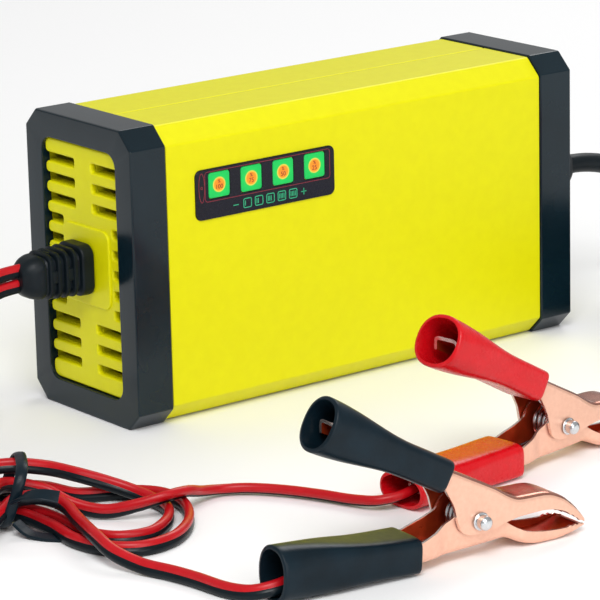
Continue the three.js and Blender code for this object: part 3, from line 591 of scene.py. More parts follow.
# Where the red core lies about the lead's line: [length along the lead, direction].
RED_LEAD_TURN = [(0, (0, 0, 1)), (35, (-0.2, 0.8, 0.6)), (95, (0.2, 0.3, 0.9)), (320, (0.2, 0.3, 0.9)),
                 (365, (-0.4, -0.75, 0.5)), (450, (-0.4, -0.75, 0.5))]
BLACK_LEAD_TURN = [(0, (0, 0, 1)), (35, (-0.2, 0.8, 0.6)), (95, (0.25, 0.4, 0.85)), (300, (0.3, 0.45, 0.8)),
                   (450, (0.3, 0.45, 0.8))]


def keyed(keys, at, ease=float):
    """Value at `at` between keys of [place, numbers]; ease shapes the share between two keys."""
    for (a, first), (b, second) in zip(keys, keys[1:]):
        if at <= b:
            return Vector(first).lerp(Vector(second), ease(max(0, (at - a) / (b - a))))
    return Vector(keys[-1][1])


def twin_shape(path, keys):
    """Two cores moulded side by side, the first one red."""
    arc = [math.radians(a) for a in range(-124, 125, 31)]
    rings = []
    run = 0.0
    for i, (point, ahead) in enumerate(zip(path, tangents(path))):
        run += (point - path[i - 1]).length if i else 0
        toward = keyed(keys, run)
        toward = (toward - ahead * toward.dot(ahead)).normalized()
        across = ahead.cross(toward)
        ring = [point + toward * (TWIN_OFFSET * sign)
                + (toward * math.cos(angle) + across * math.sin(angle)) * TWIN_LOBE * sign
                for sign in (1, -1) for angle in arc]
        lift = Vector((0, 0, max(0, FLOOR_GAP - min(p.z for p in ring))))
        rings.append([p + lift for p in ring])
    points, faces = loft(rings)
    marks = [i % (2 * len(arc)) // len(arc) for i in range(len(faces) - 2)] + [1, 1]
    return points, faces, marks


def clamp_lead(name, route, keys):
    path = smooth_path([(*point, LEAD_DOWN)[:3] for point in route], 1.5)
    obj = mesh_piece(f"{name}_clamp_cable", twin_shape(path, keys), [LEAD_RED, LEAD_BLACK], sharp=70,
                     replaces=[f"{name}_clamp_lead"])
    return obj, path


COIL_OUT = 34.9
COIL_IN = 29.1
# The lead's line in the coil: [degrees of winding, (radius, height)].
COIL_KEYS = [
    (0, (COIL_OUT, 3)), (300, (COIL_OUT, 3)), (360, (COIL_IN, 3)), (600, (COIL_IN, 3)), (660, (COIL_IN, 8.8)),
    (900, (COIL_IN, 8.8)), (960, (COIL_OUT, 8.8)), (1130, (COIL_OUT, 8.8)), (1185, (COIL_OUT, 14.6)),
    (1440, (COIL_OUT, 14.6)), (1468, (38.4, 14)), (1495, (41.2, 11.2)), (1550, (42, 3))]
COIL_END = 1544


def mains_path():
    path = smooth_path(MAINS_ROUTE, 2)
    for turn in range(0, COIL_END, 6):
        radius, height = keyed(COIL_KEYS, turn, smooth)
        angle = math.radians(-turn)
        path.append(Vector((COIL[0] + radius * math.cos(angle), COIL[1] + radius * math.sin(angle), height)))
    path += [Vector(p) for p in TAIL_ROUTE]
    return smooth_path(even_steps(path, 6), 2.4)


def coil_tie():
    """Two turns of flat strap round the coil's section."""
    angle = math.radians(-126)
    place = Matrix.Translation(Vector((*COIL, 0))) @ Matrix.Rotation(angle, 4, "Z")
    inner, outer, foot, top, slope = 25.0, 39.0, 0.04, 18.6, 31.0
    turn_shift, half_width, thick = 1.45, 1.35, 0.75
    shapes = []
    for shift in (-turn_shift, turn_shift):
        rings = []
        for wall, y in ((0, -half_width), (0, half_width), (thick, half_width), (thick, -half_width)):
            corners = [(inner + wall, foot), (outer - wall, foot), (outer - wall, top - wall),
                       (slope, top - wall), (inner + wall, 13.0 - wall * 0.5)]
            rings.append([(r, y + shift, z) for r, z in rounded(corners, 2.2, 5)])
        shapes.append(loft(rings, "loop"))
    return mesh_piece("mains_tie_strap", merged(*shapes), RUBBER, place=place, replaces=["mains_coil_tie"])


PLUG_Y = -124.0
PLUG_Z = 8.6
# Neck with rings, growing to the grip with its grooves: [x, half width, half height].
PLUG_PROFILE = [
    (72.4, 3.6, 3.6), (71.9, 4.3, 4.3), (70.6, 4.3, 4.3), (70.3, 3.7, 3.7), (69.3, 3.7, 3.7),
    (69.0, 4.7, 4.6), (67.7, 4.7, 4.6), (67.4, 4.1, 4.1), (66.4, 4.1, 4.1), (66.0, 5.4, 5.0),
    (62.0, 8.6, 6.6), (58.4, 10.4, 7.4), (57.9, 9.9, 7.0), (57.2, 9.9, 7.0), (56.7, 10.7, 7.6),
    (55.4, 10.9, 7.7), (54.9, 10.4, 7.3), (54.2, 10.4, 7.3), (53.7, 11.2, 7.9), (52.4, 11.4, 8.0),
    (51.9, 10.9, 7.6), (51.2, 10.9, 7.6), (50.7, 11.7, 8.2), (44.0, 12.0, 8.45), (42.9, 11.8, 8.3),
    (42.4, 11.2, 7.7)]
BLADE_SHIFT = 6.35
BLADE_HALF = 0.75


def plug():
    """Moulded plug with its two blades."""
    rings = [[(x, PLUG_Y + a, PLUG_Z + b) for a, b in superellipse(width, height, 4.5, 40)]
             for x, width, height in PLUG_PROFILE]
    pieces = [mesh_piece("mains_plug_moulding", loft(rings), RUBBER, sharp=50, replaces=["mains_plug_body"])]
    outline = rounded([(25.4, 5.4), (50.0, 5.4), (50.0, 11.8), (25.4, 11.8)], [1.6, 0.2, 0.2, 1.6], 5)
    hole = oval(29.4, PLUG_Z, 1.5, 1.5, 20)
    for i, shift in enumerate((-BLADE_SHIFT, BLADE_SHIFT)):
        y = PLUG_Y + shift
        pieces.append(plate(f"mains_blade_{i + 1}", [outline, hole], "Y", y - BLADE_HALF, y + BLADE_HALF, 0.2,
                            STEEL, replaces=[f"mains_plug_blade_{i + 1}"]))
    return pieces


def hank_tie():
    """Flat strap round the bundle of both leads."""
    middle = Vector((-144, -62.9, 8.6))
    along = Vector((0.87, -0.49, 0)).normalized()
    side = Vector((0, 0, 1)).cross(along).normalized()
    half_width, half_height, half_strap, half_thick = 9.8, 8.0, 1.5, 0.55
    rings = []
    for angle in circle(12):
        grow, shift = half_thick * math.cos(angle), half_strap * math.sin(angle)
        outline = superellipse(half_width + grow, half_height + grow, 3.0, 56)
        rings.append([middle + along * (shift + 0.35 * b) + side * a + Vector((0, 0, b)) for a, b in outline])
    strap = loft(rings, "loop")
    return mesh_piece("hank_tie_strap", strap, SLEEVE_BLACK, replaces=["cord_tie"], sharp=60)


HANK_TAILS = [
    [(-149, -72.3, 3.6), (-147.5, -75.4, 1.3), (-145, -79.5, 0.6), (-141.5, -83.5, 0.6)],
    [(-149.4, -72.6, 9), (-148.4, -76, 11.2), (-145.8, -79.5, 11.8), (-142.5, -82, 11)],
]


def hank_tails():
    """The strap's two free ends, flat strips that twist a little on their way."""
    outline = soft_box(0, 0, 1.7, 0.45, 0.3, 2)
    shapes = []
    for turn, points in zip((0.25, 0.9), HANK_TAILS):
        line = smooth_path(points, 1.2)
        rings = []
        for i, (point, ahead) in enumerate(zip(line, tangents(line))):
            across = Vector((0, 0, 1)).cross(ahead).normalized()
            lean = turn * i / len(line)
            wide = across * math.cos(lean) + ahead.cross(across) * math.sin(lean)
            thin = ahead.cross(wide)
            rings.append([point + wide * a + thin * b for a, b in outline])
        shapes.append(loft(rings))
    return mesh_piece("hank_tie_tails", merged(*shapes), SLEEVE_BLACK)


def crimp(name, path):
    """Copper barrel round the lead's end, with the bare strands coming out of it."""
    end, ahead = path[-1], (path[-1] - path[-2]).normalized()
    stations = [end + ahead * along for along in (-1.6, -1.4, 2.4, 2.6)]
    shapes = [loft(tube_rings(stations, [2.0, 2.15, 2.15, 2.0], 20))]
    for i in range(7):
        angle = math.pi * 2 * i / 6
        shift = Vector((0, math.cos(angle), math.sin(angle))) * (0.62 if i else 0)
        strand = [end + ahead * 1 + shift, end + ahead * (5.0 + 0.3 * (i % 3)) + shift]
        shapes.append(loft(tube_rings(strand, 0.3, 8)))
    return mesh_piece(name, merged(*shapes), WIRE, sharp=50)


def make_cords(clamps):
    red, red_path = clamp_lead("red", RED_CLAMP_ROUTE, RED_LEAD_TURN)
    black, black_path = clamp_lead("black", BLACK_CLAMP_ROUTE, BLACK_LEAD_TURN)
    straps = [hank_tie(), hank_tails()]
    red_pieces = [*straps, crimp("red_crimp", red_path), *clamps["red"]]
    black_pieces = [crimp("black_crimp", black_path), *clamps["black"]]
    path = mains_path()
    mains = mesh_piece("mains_cable", loft(tube_rings(path, MAINS_R, 16)), RUBBER, sharp=80,
                       replaces=["mains_cord", "mains_coil", "mains_cord_tail"])
    pieces = [coil_tie(), *plug()]


# ---------------------------------------------------------------- case
def shell_section(side, inset_out, inset_in):
    """Closed outline of half the case's wall; side is -1 for the display's half."""
    y, low, high = BODY_Y, PROUD, BODY_TOP
    seam = GAP / 2

    def corner_points(inset):
        c = CHAMFER - 0.5858 * inset
        return [(seam, high - inset), (y - inset - c, high - inset), (y - inset, high - inset - c),
                (y - inset, low + inset + c), (y - inset - c, low + inset), (seam, low + inset)]

    corners = corner_points(inset_out) + corner_points(inset_in)[::-1]
    radii = [0.35, 1.2, 1.2, 1.2, 1.2, 0.35, 0.1, 0.4, 0.4, 0.4, 0.4, 0.1]
    return [(side * a, b) for a, b in rounded(corners, radii)]


def shell(name, side, replaced):
    lip, full = (1.8, 3.2), (0, 2.2)
    reach = BODY_END + 5.5
    stations = [(-reach, lip), (-BODY_END, lip), (-BODY_END, full),
                (BODY_END, full), (BODY_END, lip), (reach, lip)]
    rings = [at_x(shell_section(side, *insets), x) for x, insets in stations]
    return mesh_piece(name, loft(rings), YELLOW, replaces=[replaced])


SCREWS = [(-57, 10), (57, 10), (-57, 72.7), (57, 72.7)]


def back_shell():
    made = shell("back_shell", 1, "body_back_shell")
    head, rim, deep, out = 3.1, 3.5, 20, 26
    profile = [(0, deep), (head, deep), (head, BODY_Y - 0.4), (rim, BODY_Y), (rim, out), (0, out)]
    tools = [mesh_piece("sink", lathe(profile, 40, (x, 0, z)), YELLOW, body=None) for x, z in SCREWS]
    return cut(made, *tools)


def screw(index, x, z):
    top = BODY_Y - 0.6
    profile = [(0, top), (1.5, top), (2.3, top - 0.25), (2.7, top - 0.8), (2.7, top - 2.2), (1.4, top - 2.2),
               (1.4, 6), (0, 5)]
    made = mesh_piece(f"screw_{index}", lathe(profile, 32, (x, 0, z)), STEEL,
                      replaces=[f"case_screw_{index}"])
    tools = [mesh_piece("cross", block(x - a, x + a, top - 1.1, top + 1, z - b, z + b, 0.1), STEEL, body=None)
             for a, b in ((1.7, 0.32), (0.32, 1.7))]
    return cut(made, *tools)


def cap_loop(inset, cut_back, radius):
    """The cap's octagon, smaller all round by the inset."""
    return rounded(octagon(DEPTH / 2 - inset, inset, HEIGHT - inset, CHAMFER - cut_back), radius)


def end_cap(name, turn, replaced):
    """Loft from the cap's open end over its rounded front edge into the window and back inside."""
    outer, hollow = cap_loop(0, 0, 0.7), cap_loop(CAP_WALL, 1.17, 0.5)
    window = window_loop(0)
    front, back = -HALF, -HALF + CAP_WIDTH
    stations = [(outer, back - 0.3), (outer, front + 0.6), (cap_loop(0.18, 0.1, 0.65), front + 0.18),
                (cap_loop(0.6, 0.35, 0.6), front), (window_loop(0.45), front),
                (window_loop(0.14), front + 0.14), (window, front + 0.45), (window, front + CAP_FACE),
                (hollow, front + CAP_FACE), (hollow, back), (cap_loop(0.3, 0.17, 0.6), back)]
    rings = [at_x(outline, x) for outline, x in stations]
    return mesh_piece(name, loft(rings, "loop"), BLACK, sharp=30, place=turn_of(turn), replaces=[replaced])


WINDOW_HALF = 17.2
WINDOW_LOW = 7.4
WINDOW_HIGH = 75.6


def window_loop(grow):
    """The cap's window with as many points as its octagon, starting at the same corner."""
    corners = rectangle(-WINDOW_HALF - grow, WINDOW_HALF + grow, WINDOW_LOW - grow, WINDOW_HIGH + grow)
    loop = rounded(corners, 4 + grow, 9)
    return loop[5:] + loop[:5]


SLOT_ROWS = [13.9 + 5.6 * i for i in range(11)]
SLOT_HALF = 1.25
PAD_LEFT, PAD_RIGHT, PAD_LOW, PAD_HIGH = -12.5, 9.0, 31.5, 53.5


def slot_ends(z, side):
    """Where a slot begins at the middle rib or the raised pad."""
    boxed = PAD_LOW - 1 < z < PAD_HIGH
    if side < 0:
        return PAD_LEFT - 0.9 if boxed else -4.6
    return PAD_RIGHT + 0.6 if boxed else 3.4


def comb_outline():
    """Front of the vent: a middle rib with fingers whose outer ends are rounded and free."""
    edge = WINDOW_HALF - GAP
    low, high = WINDOW_LOW + GAP, WINDOW_HIGH - GAP
    corners, radii = [], []
    for side, order in ((1, SLOT_ROWS), (-1, SLOT_ROWS[::-1])):
        first = low if side > 0 else high
        corners += [(-side * edge, first), (side * edge, first)]
        radii += [3.5, 3.5]
        for z in order:
            inner, start, end = slot_ends(z, side), z - side * SLOT_HALF, z + side * SLOT_HALF
            corners += [(side * edge, start), (inner, start), (inner, end), (side * edge, end)]
            radii += [1.2, 0.7, 0.7, 1.2]
    return rounded(corners, radii, 5)


def slot_holes():
    loops = []
    for z in SLOT_ROWS:
        for side in (-1, 1):
            a, b = sorted((slot_ends(z, side), side * (WINDOW_HALF + 1)))
            loops.append(rounded(rectangle(a, b, z - SLOT_HALF, z + SLOT_HALF), 0.6, 3))
    return loops


def turn_of(turn):
    """Half turn that takes a piece made for the -X end to the +X end."""
    return Matrix.Rotation(math.pi, 4, "Z") if turn else None


def vent(name, turn, replaced):
    face, back, inside = -HALF + 1.0, -HALF + CAP_FACE + GAP, -HALF + CAP_FACE + GAP + 2.5
    neck = soft_box(0, LEAD_Z, 4.9, 5.7, 2.2, 5)
    sheet = rounded(octagon(21.4, 3.5, HEIGHT - 3.5, 4), 0.5, 3)
    pad = rounded(rectangle(PAD_LEFT, PAD_RIGHT, PAD_LOW, PAD_HIGH), 3, 6)
    ribs = [block(inside - 0.2, inside + 3, -4.3, 3.1, *ends) for ends in ((8, LEAD_Z - 6), (LEAD_Z + 6, 75))]
    pieces = [
        plate(f"{name}_comb", [comb_outline(), neck], "X", face, back + 0.05, 0.5, YELLOW,
              replaces=[replaced]),
        plate(f"{name}_sheet", [sheet, *slot_holes(), neck], "X", back, inside, 0.15, YELLOW),
        plate(f"{name}_pad", [pad, neck], "X", face - 0.6, face + 0.8, 0.45, YELLOW),
        mesh_piece(f"{name}_rib", merged(*ribs), YELLOW)]
    if turn:
        for piece in pieces:
            piece.data.transform(turn_of(turn))


# ---------------------------------------------------------------- strain reliefs
RIB_FIRST = 5.1
RIB_PITCH = 2.5
# Domed nose: [distance from the case, share of the boot's section].
BOOT_NOSE = [(14.6, 0.73), (14.75, 0.81), (15.2, 0.845), (16.2, 0.84), (17.2, 0.815), (18.1, 0.775),
             (18.9, 0.72), (19.6, 0.65), (20.2, 0.575), (20.65, 0.50), (20.9, 0.45), (21.0, 0.40)]


def relief_ring(x, scale, roundness=0.5):
    half_width, half_height = 6.2 * scale, 7.1 * scale
    return at_x(soft_box(0, LEAD_Z, half_width, half_height, half_width * roundness, 7), x)


def relief(name, turn, replaced):
    """Boot of ribs in pairs, each pair joined by a small bridge on every face, with a domed nose."""
    base = -HALF + 0.4 - GAP
    profile = [(0, 0.95), (0.25, 0.99), (0.7, 1.0), (3.2, 0.995), (3.6, 0.98), (3.85, 0.94), (3.95, 0.78)]
    for rib in range(4):
        at, top = RIB_FIRST + rib * RIB_PITCH, 0.95 - rib * 0.02
        profile += [(at - 0.05, 0.75), (at, top - 0.06), (at + 0.2, top - 0.01), (at + 0.65, top),
                    (at + 1.1, top - 0.01), (at + 1.3, top - 0.06), (at + 1.35, 0.75)]
    rings = [relief_ring(base - d, s) for d, s in profile]
    rings += [relief_ring(base - d, s, 0.6 + 0.35 * i / len(BOOT_NOSE)) for i, (d, s) in enumerate(BOOT_NOSE)]
    bridges = []
    for first in (RIB_FIRST, RIB_FIRST + 2 * RIB_PITCH):
        x0, x1 = base - first - 3.0, base - first - 0.7
        for sign in (-1, 1):
            y = sorted((sign * 4.4, sign * 5.45))
            bridges.append(block(x0, x1, *y, LEAD_Z - 1.7, LEAD_Z + 1.7, 0.25))
            z = sorted((LEAD_Z + sign * 5.2, LEAD_Z + sign * 6.25))
            bridges.append(block(x0, x1, -1.7, 1.7, *z, 0.25))
    stem = ((base, 0.74), (-HALF + 9.0, 0.74), (-HALF + 9.1, 0.9), (-HALF + 11, 0.9))
    shape = merged(loft(rings), loft([relief_ring(x, s) for x, s in stem]), *bridges)
    return mesh_piece(name, shape, RUBBER, sharp=45, place=turn_of(turn), replaces=[replaced])


# ---------------------------------------------------------------- charge display
DISPLAY_X, DISPLAY_Z, DISPLAY_W, DISPLAY_H = -33.3, 62.2, 47.4, 13.9
LEVEL_Z = 64.4
LEVEL_HALF = 3.5
LEVEL_X = [-49.1 + 10.85 * i for i in range(4)]
PLATE_FRONT = -BODY_Y - 0.5


def display_plate():
    outline = soft_box(DISPLAY_X, DISPLAY_Z, DISPLAY_W / 2, DISPLAY_H / 2, 1.9, 6)
    hole = LEVEL_HALF + 0.1
    holes = [soft_box(x, LEVEL_Z, hole, hole, 0.8) for x in LEVEL_X]
    plate("display_panel", [outline, *holes], "Y", PLATE_FRONT, PLATE_FRONT + 1, 0.22, LABEL,
          replaces=["display_plate"])


def level_window(index, x):
    outline = soft_box(0, 0, LEVEL_HALF, LEVEL_HALF, 0.8)
    obj = plate(f"level_film_painted_glow_{index}", [outline], "Y", -0.5, 0.3, 0.15, LEVEL, body=None,
                replaces=[f"level_window_{index}"])
    obj.location = Vector((x, PLATE_FRONT + 0.56, LEVEL_Z)) * MM
    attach(obj, ROOT)


def lettering(name, text, size, x, z, y, material):
    data = bpy.data.curves.new(name, "FONT")
    data.body = text
    data.size = size * MM
    data.align_x = "CENTER"
    data.align_y = "CENTER"
    data.extrude = 0.02 * MM
    mesh = curve_mesh(name, data)
    mesh.transform(Matrix.Translation(Vector((x, y, z)) * MM) @ Matrix.Rotation(math.pi / 2, 4, "X"))
    mesh.materials.clear()
    mesh.materials.append(material)
    weld(mesh, 1e-6)
    return finished(name, mesh)


def line_work(name, loops, width, y, material):
    """Printed lines: each loop is (points in x and z, closed)."""
    back = Vector((0, 0.05, 0))
    shapes = []
    for points, closed in loops:
        path = [Vector((a, y, b)) for a, b in points]
        rings = []
        for i, point in enumerate(path):
            before = path[i - 1] if closed or i else point
            after = path[(i + 1) % len(path)] if closed or i < len(path) - 1 else point
            across = (after - before).normalized().cross(Vector((0, 1, 0))) * width / 2
            rings.append([point + across, point - across, point - across + back, point + across + back])
        shapes.append(loft(rings, "loop" if closed else "caps"))
    return mesh_piece(name, merged(*shapes), material)


def oval(x, z, half_width, half_height, count=28):
    return [(x + a, z + b) for a, b in superellipse(half_width, half_height, 2, count)]


def display_marks():
    """Battery outline round the windows and a row of plain signs below them."""
    y = PLATE_FRONT - 0.03
    battery = soft_box(-32.6, 64.25, 21.3, 4.1, 0.8)
    pole, dot = oval(-55.0, 64.2, 0.95, 4.0), oval(-55.0, 64.2, 0.3, 0.3, 12)
    line_work("battery_outline", [(outline, True) for outline in (battery, pole, dot)], 0.2, y, RED_INK)
    z = 57.8
    strokes = [[(-44.6, z), (-42.8, z)], [(-21.4, z), (-19.6, z)], [(-20.5, z - 0.9), (-20.5, z + 0.9)]]
    loops = [(stroke, False) for stroke in strokes]
    for i in range(5):
        x = -39.8 + 3.9 * i
        loops.append((soft_box(x, z, 1.3, 1.25, 0.4, 3), True))
        bars = [x - 0.75 + 0.5 * bar for bar in range(min(i, 3) + 1)]
        loops += [([(bar, z - 0.7), (bar, z + 0.7)], False) for bar in bars]
    line_work("charge_signs", loops, 0.27, y, GREEN_INK)


def display():
    display_plate()
    display_marks()
    for i, (x, value) in enumerate(zip(LEVEL_X, ("100", "75", "50", "25"))):
        level_window(i + 1, x)
        y = PLATE_FRONT + 0.04
        lettering(f"level_value_{i + 1}", value, 1.75, x, LEVEL_Z - 0.62, y, DIGIT_INK)
        lettering(f"level_sign_{i + 1}", "%", 1.35, x, LEVEL_Z + 0.85, y, DIGIT_INK)


# ---------------------------------------------------------------- battery clamps
SPINE = [(-39, 30.9), (-8.8, 14.7), (4, 7.9), (12.4, 3.4), (15.5, 3.2), (18.4, 3.1), (21, 2.8),
         (23.3, 2.0), (26, 0.5), (28, -1.2), (30, -3.2), (31.4, -5), (32.2, -6.1)]
UPPER_EDGE = [(-39, 27.3), (-16, 15), (-12.4, 12.6), (-10.8, 10.8), (-8.9, 7.6), (-7.4, 4.6),
              (-6.8, 2), (-6.2, -0.6), (-4.4, -2.5), (-1.6, -3.3), (1.6, -3.4), (5, -2.8), (8.8, -1.9),
              (12.4, -1.4), (18.4, -1.3), (22, -1.7), (25, -2.6), (28, -4.2), (30.4, -5.9), (32.2, -7.05)]
KEEL = [(-49, -7.8), (-18, -7.45), (4, -6.8), (8, -6.6), (10, -7.1), (12, -8.1), (15, -9.1),
        (18, -9.65), (22.6, -9.7), (26, -9.25), (28.6, -8.7), (32, -7.9)]
LOWER_EDGE = [(-49, -4.2), (-19.1, -2.6), (-13, -0.9), (-9, 0.9), (-6.6, 1.9), (-5.6, 3.4),
              (-3.4, 5.6), (0, 6.5), (3.4, 5.5), (5.6, 3), (7.2, -0.6), (8.8, -2.4), (12, -4.6), (15, -5.9),
              (18.4, -6.6), (22, -7), (25, -7.2), (28, -7.25), (32, -7.45)]
UPPER_WIDTH = [(-39, 4.1), (-16, 4.9), (-9, 5.65), (28, 5.65), (32.2, 4.9)]
LOWER_WIDTH = [(-49, 4.1), (-24, 5), (-17, 5.65), (-13, 5.4), (-9, 4.4), (8, 4.4), (14, 5.65),
               (28, 5.65), (32, 4.9)]
SHEET = 0.9
RIVET_Z = 9.85
RIVET_HOLE = 2.05
FOLD_BEND = 1.7
# First and last place of the teeth along the arm, their pitch and their height.
TEETH = (26.6, 31.1, 1.5, 0.45)


def eased(points):
    """Smooth curve through [x, value] points that never overshoots them (monotone cubic)."""
    xs = [p[0] for p in points]
    ys = [p[1] for p in points]
    rises = [(ys[i + 1] - ys[i]) / (xs[i + 1] - xs[i]) for i in range(len(xs) - 1)]
    slopes = [rises[0]]
    for a, b in zip(rises, rises[1:]):
        slopes.append(0 if a * b <= 0 else 2 * a * b / (a + b))
    slopes.append(rises[-1])

    def value(x):
        i = max(0, min(len(xs) - 2, sum(1 for at in xs if at <= x) - 1))
        h = xs[i + 1] - xs[i]
        t = min(1, max(0, (x - xs[i]) / h))
        return (ys[i] * (1 + 2 * t) * (1 - t) ** 2 + slopes[i] * h * t * (1 - t) ** 2
                + ys[i + 1] * t * t * (3 - 2 * t) + slopes[i + 1] * h * t * t * (t - 1))

    return value


def teeth(s, first, last, pitch, height):
    """Height of a row of teeth at s, with sloping flanks."""
    if not first <= s <= last:
        return 0
    share = ((s - first) / pitch) % 1
    return height * (1 - abs(2 * share - 1))


def fold_corner(side, back, bend, up, squeeze=1):
    """Quarter round from a wall at `side` to the folded back."""
    points = []
    for step in range(6):
        angle = math.pi / 2 * step / 5
        points.append((side + bend * (1 - math.cos(angle)),
                       back - up * abs(bend) * (1 - math.sin(angle)) * squeeze))
    return points


def channel_ring(s, back, free, width):
    """Section of the folded sheet across the arm: outer side, then the inner side."""
    up = 1 if back > free else -1
    room = abs(back - free)
    bend = min(FOLD_BEND, room * 0.45)
    inner_bend = max(0.15, bend - SHEET)
    inner_back = back - up * min(SHEET, room - 0.2)
    inside = width - SHEET
    outer = [(0.12 - width, free), (-width, free + up * 0.12), *fold_corner(-width, back, bend, up)]
    inner = [(inside + 0.12, free), (inside, free + up * 0.12),
             *fold_corner(inside, inner_back, -inner_bend, up, min(1, room))]
    ring = [*outer, *[(-a, b) for a, b in outer[::-1]], *inner, *[(-a, b) for a, b in inner[::-1]]]
    return [(s, a, b) for a, b in ring], 2 * len(outer)


def arm_shape(fold, edge, width, tooth_sign):
    back, free, wide = eased(fold), eased(edge), eased(width)
    start, end = fold[0][0], fold[-1][0]
    count = round((end - start) / 0.45)
    rings = []
    for i in range(count + 1):
        s = start + (end - start) * i / count
        low = free(s) + tooth_sign * teeth(s, *TEETH)
        ring, outer = channel_ring(s, back(s), low, wide(s))
        rings.append(ring)
    points, faces = loft(rings)
    size = len(rings[0])

    def mark(i):
        """Index in ARM_SKINS of the strip of faces that starts at a ring's point i."""
        if i in (outer - 1, size - 1):
            return 3
        if i >= outer:
            return 1
        return 2 if tooth_sign < 0 and 4 <= i < outer - 5 else 0

    return points, faces, [mark(i % size) for i in range(len(faces) - 2)] + [3, 3]


# Outer copper; the inside with painted shade; the upper jaw's back with a painted reflection; the cut edges
# with a painted highlight.
ARM_SKINS = [COPPER, COPPER_SHADED_IN, COPPER_FOLD_REFLECTION, CUT_EDGE_HIGHLIGHT]


def arm(name, fold, edge, width, tooth_sign, place, body, replaced):
    made = mesh_piece(name, arm_shape(fold, edge, width, tooth_sign), ARM_SKINS, body=body,
                      place=place, sharp=42, replaces=[replaced])
    reach = 9
    profile = [(0, -reach), (RIVET_HOLE, -reach), (RIVET_HOLE, reach), (0, reach)]
    return cut(made, mesh_piece("hole", lathe(profile, 28), COPPER, body=None, place=place))


def rivet_shape():
    grip = 5.95
    half = [(0, grip + 3.0), (0.8, grip + 2.95), (1.4, grip + 2.72), (1.72, grip + 2.35), (1.8, grip + 1.9),
            (1.8, grip + 0.36), (2.1, grip + 0.34), (2.25, grip + 0.22), (2.25, grip + 0.02), (1.7, grip)]
    return lathe(half + [(r, -y) for r, y in half[::-1]], 28)


def spring_shape():
    turns, radius, pitch = 3.5, 4.4, 1.62
    half = turns * pitch / 2
    points = [(-17, -half, 15.6), (-10, -half, 10.6)]
    steps = 42
    for i in range(steps + 1):
        angle = 2.2 - i / steps * turns * 2 * math.pi
        points.append((radius * math.cos(angle), (i / steps - 0.5) * 2 * half, radius * math.sin(angle)))
    points += [(-9, half, -5.1), (-18, half, -5.5)]
    return loft(tube_rings(smooth_path(points, 0.7), 0.6, 10))


def sleeve_ring(centre, direction, half_width, half_height, power):
    side = Vector((0, 0, 1)).cross(direction).normalized()
    across = direction.cross(side)
    return [centre + across * b + side * a for a, b in superellipse(half_width, half_height, power, 48)]


SLEEVE_STEPS = 28
SLEEVE_WALL = 1.0
LIP = [(0.0, 0.62), (0.14, 0.2), (0.42, 0.0)]


def sleeve_shape(front, rear, grip, mouth, wave, waist):
    """Dipped vinyl sleeve: boxy on the arm up to `waist`, then flared and round, with rolled lips."""
    start, end = Vector((front[0], 0, front[1])), Vector((rear[0], 0, rear[1]))
    direction = (end - start).normalized()

    def section(step, shift=0.0, inset=0.0):
        t = step / SLEEVE_STEPS
        past = max(0, (t - waist) / (1 - waist))
        flare = smooth(past)
        ripple = 0.12 * math.sin(t * 9 + wave) * math.sin(math.pi * t)
        width = grip[0] + (mouth[0] - grip[0]) * flare + ripple - inset
        height = grip[1] + (mouth[1] - grip[1]) * flare ** 1.3 + ripple * 0.6 - inset
        centre = start.lerp(end, t) + direction * shift
        return sleeve_ring(centre, direction, width, height, 5.5 - 3.2 * flare)

    middle = range(1, SLEEVE_STEPS)
    rings = [section(0, shift, inset) for shift, inset in LIP]
    rings += [section(step) for step in middle]
    rings += [section(SLEEVE_STEPS, -shift, inset) for shift, inset in [*LIP[::-1], (0.0, 0.95)]]
    rings += [section(step, 0, SLEEVE_WALL) for step in middle[::-1]]
    rings.append(section(0, 0.1, SLEEVE_WALL))
    ground = FLOOR_GAP - RIVET_Z
    return loft([[(p.x, p.y, max(p.z, ground)) for p in ring] for ring in rings], "loop")


CLAMPS = [
    ("black", -74.8, -155.6, -4, SLEEVE_BLACK, (6.2, 6.9), (5.9, 6.9)),
    ("red", -9.4, -113.2, 6, SLEEVE_RED, (7.4, 6.9), (7.7, 4.7)),
]


def clamp(name, x, y, yaw, soft, upper_mouth, lower_mouth):
    place = Matrix.Translation((x, y, RIVET_Z)) @ Matrix.Rotation(math.radians(yaw), 4, "Z")
    top = f"{name}_clamp_upper_half"
    ground = -RIVET_Z + 0.05
    foot, mouth = (-17.8, ground + 4.7), (-55.9, ground + lower_mouth[1])
    upper = sleeve_shape((-9.4, 12.7), (-42.1, 30.9), (7.1, 4.2), upper_mouth, 0.6, 0.22)
    lower = sleeve_shape(foot, mouth, (7.1, 4.5), lower_mouth, 2.1, 0)
    pieces = [
        arm(f"{name}_upper_jaw", SPINE, UPPER_EDGE, UPPER_WIDTH, -1, place, top, f"{name}_upper_arm"),
        arm(f"{name}_lower_jaw", KEEL, LOWER_EDGE, LOWER_WIDTH, 1, place, ROOT, f"{name}_lower_arm")]
    for piece, shape, look, body, sharp, node_name in (
            ("upper_grip", upper, soft, top, 60, "upper_sleeve"),
            ("lower_grip", lower, soft, ROOT, 60, "lower_sleeve"),
            ("pivot_pin", rivet_shape(), STEEL, ROOT, 50, "rivet"),
            ("coil_spring", spring_shape(), STEEL, None, 70, "spring")):
        pieces.append(mesh_piece(f"{name}_{piece}", shape, look, body, sharp, place, [f"{name}_{node_name}"]))
    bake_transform(pieces[-1])
    return pieces


# ---------------------------------------------------------------- pieces kept from the frame
def repaint(material, *names):
    for name in names:
        mesh = NODES[name].data
        mesh.materials.clear()
        mesh.materials.append(material)
        mesh.polygons.foreach_set("material_index", [0] * len(mesh.polygons))


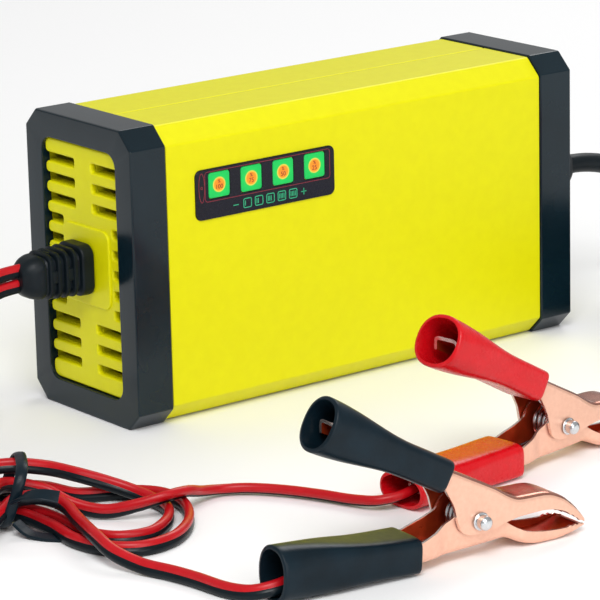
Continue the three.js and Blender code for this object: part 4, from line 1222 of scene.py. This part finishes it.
def inner_pieces():
    repaint(circuit_green(), "main_circuit_board", "display_board")
    repaint(speckled("ferrite", (0.012, 0.012, 0.014), (0.035, 0.033, 0.032), 0.5, 500), "transformer_core")
    repaint(wound("winding_tape", (0.55, 0.38, 0.03), (0.72, 0.52, 0.06), 0.0016, 0.0), "transformer_winding")
    repaint(speckled("can_sleeve", (0.012, 0.014, 0.02), (0.03, 0.034, 0.045), 0.35, 400),
            "input_capacitor", "output_capacitor_1", "output_capacitor_2")
    repaint(wound("choke_wire", (0.30, 0.08, 0.02), (0.72, 0.27, 0.08), 0.0008, 0.9),
            "input_choke", "output_choke")
    repaint(speckled("fin_metal", (0.50, 0.51, 0.52), (0.68, 0.69, 0.70), 0.38, 300, 1.0),
            "input_heatsink", "output_heatsink")
    repaint(speckled("chip_resin", (0.010, 0.010, 0.011), (0.022, 0.022, 0.024), 0.5, 700),
            "switching_transistor", "output_diode", "bridge_rectifier", "controller_chip")
    repaint(speckled("fuse_glass", (0.62, 0.66, 0.64), (0.75, 0.78, 0.76), 0.12, 300), "mains_fuse")
    repaint(speckled("lamp_lens", (0.62, 0.80, 0.45), (0.75, 0.88, 0.55), 0.18, 300),
            *[f"level_led_{i}" for i in range(1, 5)])


# ---------------------------------------------------------------- stage and light
def make_stage():
    edge = 6000
    shape = [(-edge, -edge, 0), (edge, -edge, 0), (edge, edge, 0), (-edge, edge, 0)], [[0, 1, 2, 3]]
    grey = [(level,) * 3 for level in (0.945, 0.95, 0.955)]
    paper = surface("floor_paper", grey[1], 0.9, tint=(3, grey[0], grey[2]))
    floor = mesh_piece("floor", shape, paper, body=None)
    world = bpy.data.worlds.new("studio")
    world.use_nodes = True
    background = world.node_tree.nodes["Background"]
    background.inputs["Color"].default_value = (1, 1, 1, 1)
    background.inputs["Strength"].default_value = 0.45
    bpy.context.scene.world = world
    area_light("key", (-0.7, -0.9, 1.2), 0.7, 15.5)
    area_light("front", (-0.2, -1.5, 0.5), 0.9, 7)
    area_light("rim", (0.9, 0.5, 1.0), 0.7, 6)


def area_light(name, spot, size, power):
    data = bpy.data.lights.new(name, "AREA")
    data.size = size
    data.energy = power
    lamp = placed(name, data)
    lamp.location = spot
    lamp.rotation_mode = "QUATERNION"
    lamp.rotation_quaternion = (LIGHT_AIM - Vector(spot)).to_track_quat("-Z", "Y")


def make_case():
    shell("front_shell", -1, "body_front_shell")
    back_shell()
    for i, (x, z) in enumerate(SCREWS):
        screw(i + 1, x, z)
    for end, turn in (("left", False), ("right", True)):
        end_cap(f"{end}_cap", turn, f"{end}_end_cap")
        vent(f"{end}_vent", turn, f"{end}_vent_panel")
    relief("dc_boot", False, "dc_strain_relief")
    relief("mains_boot", True, "mains_strain_relief")
    display()


make_camera()
make_cords({spec[0]: clamp(*spec) for spec in CLAMPS})
make_case()
inner_pieces()
make_stage()
bpy.context.scene.view_settings.view_transform = "Standard"
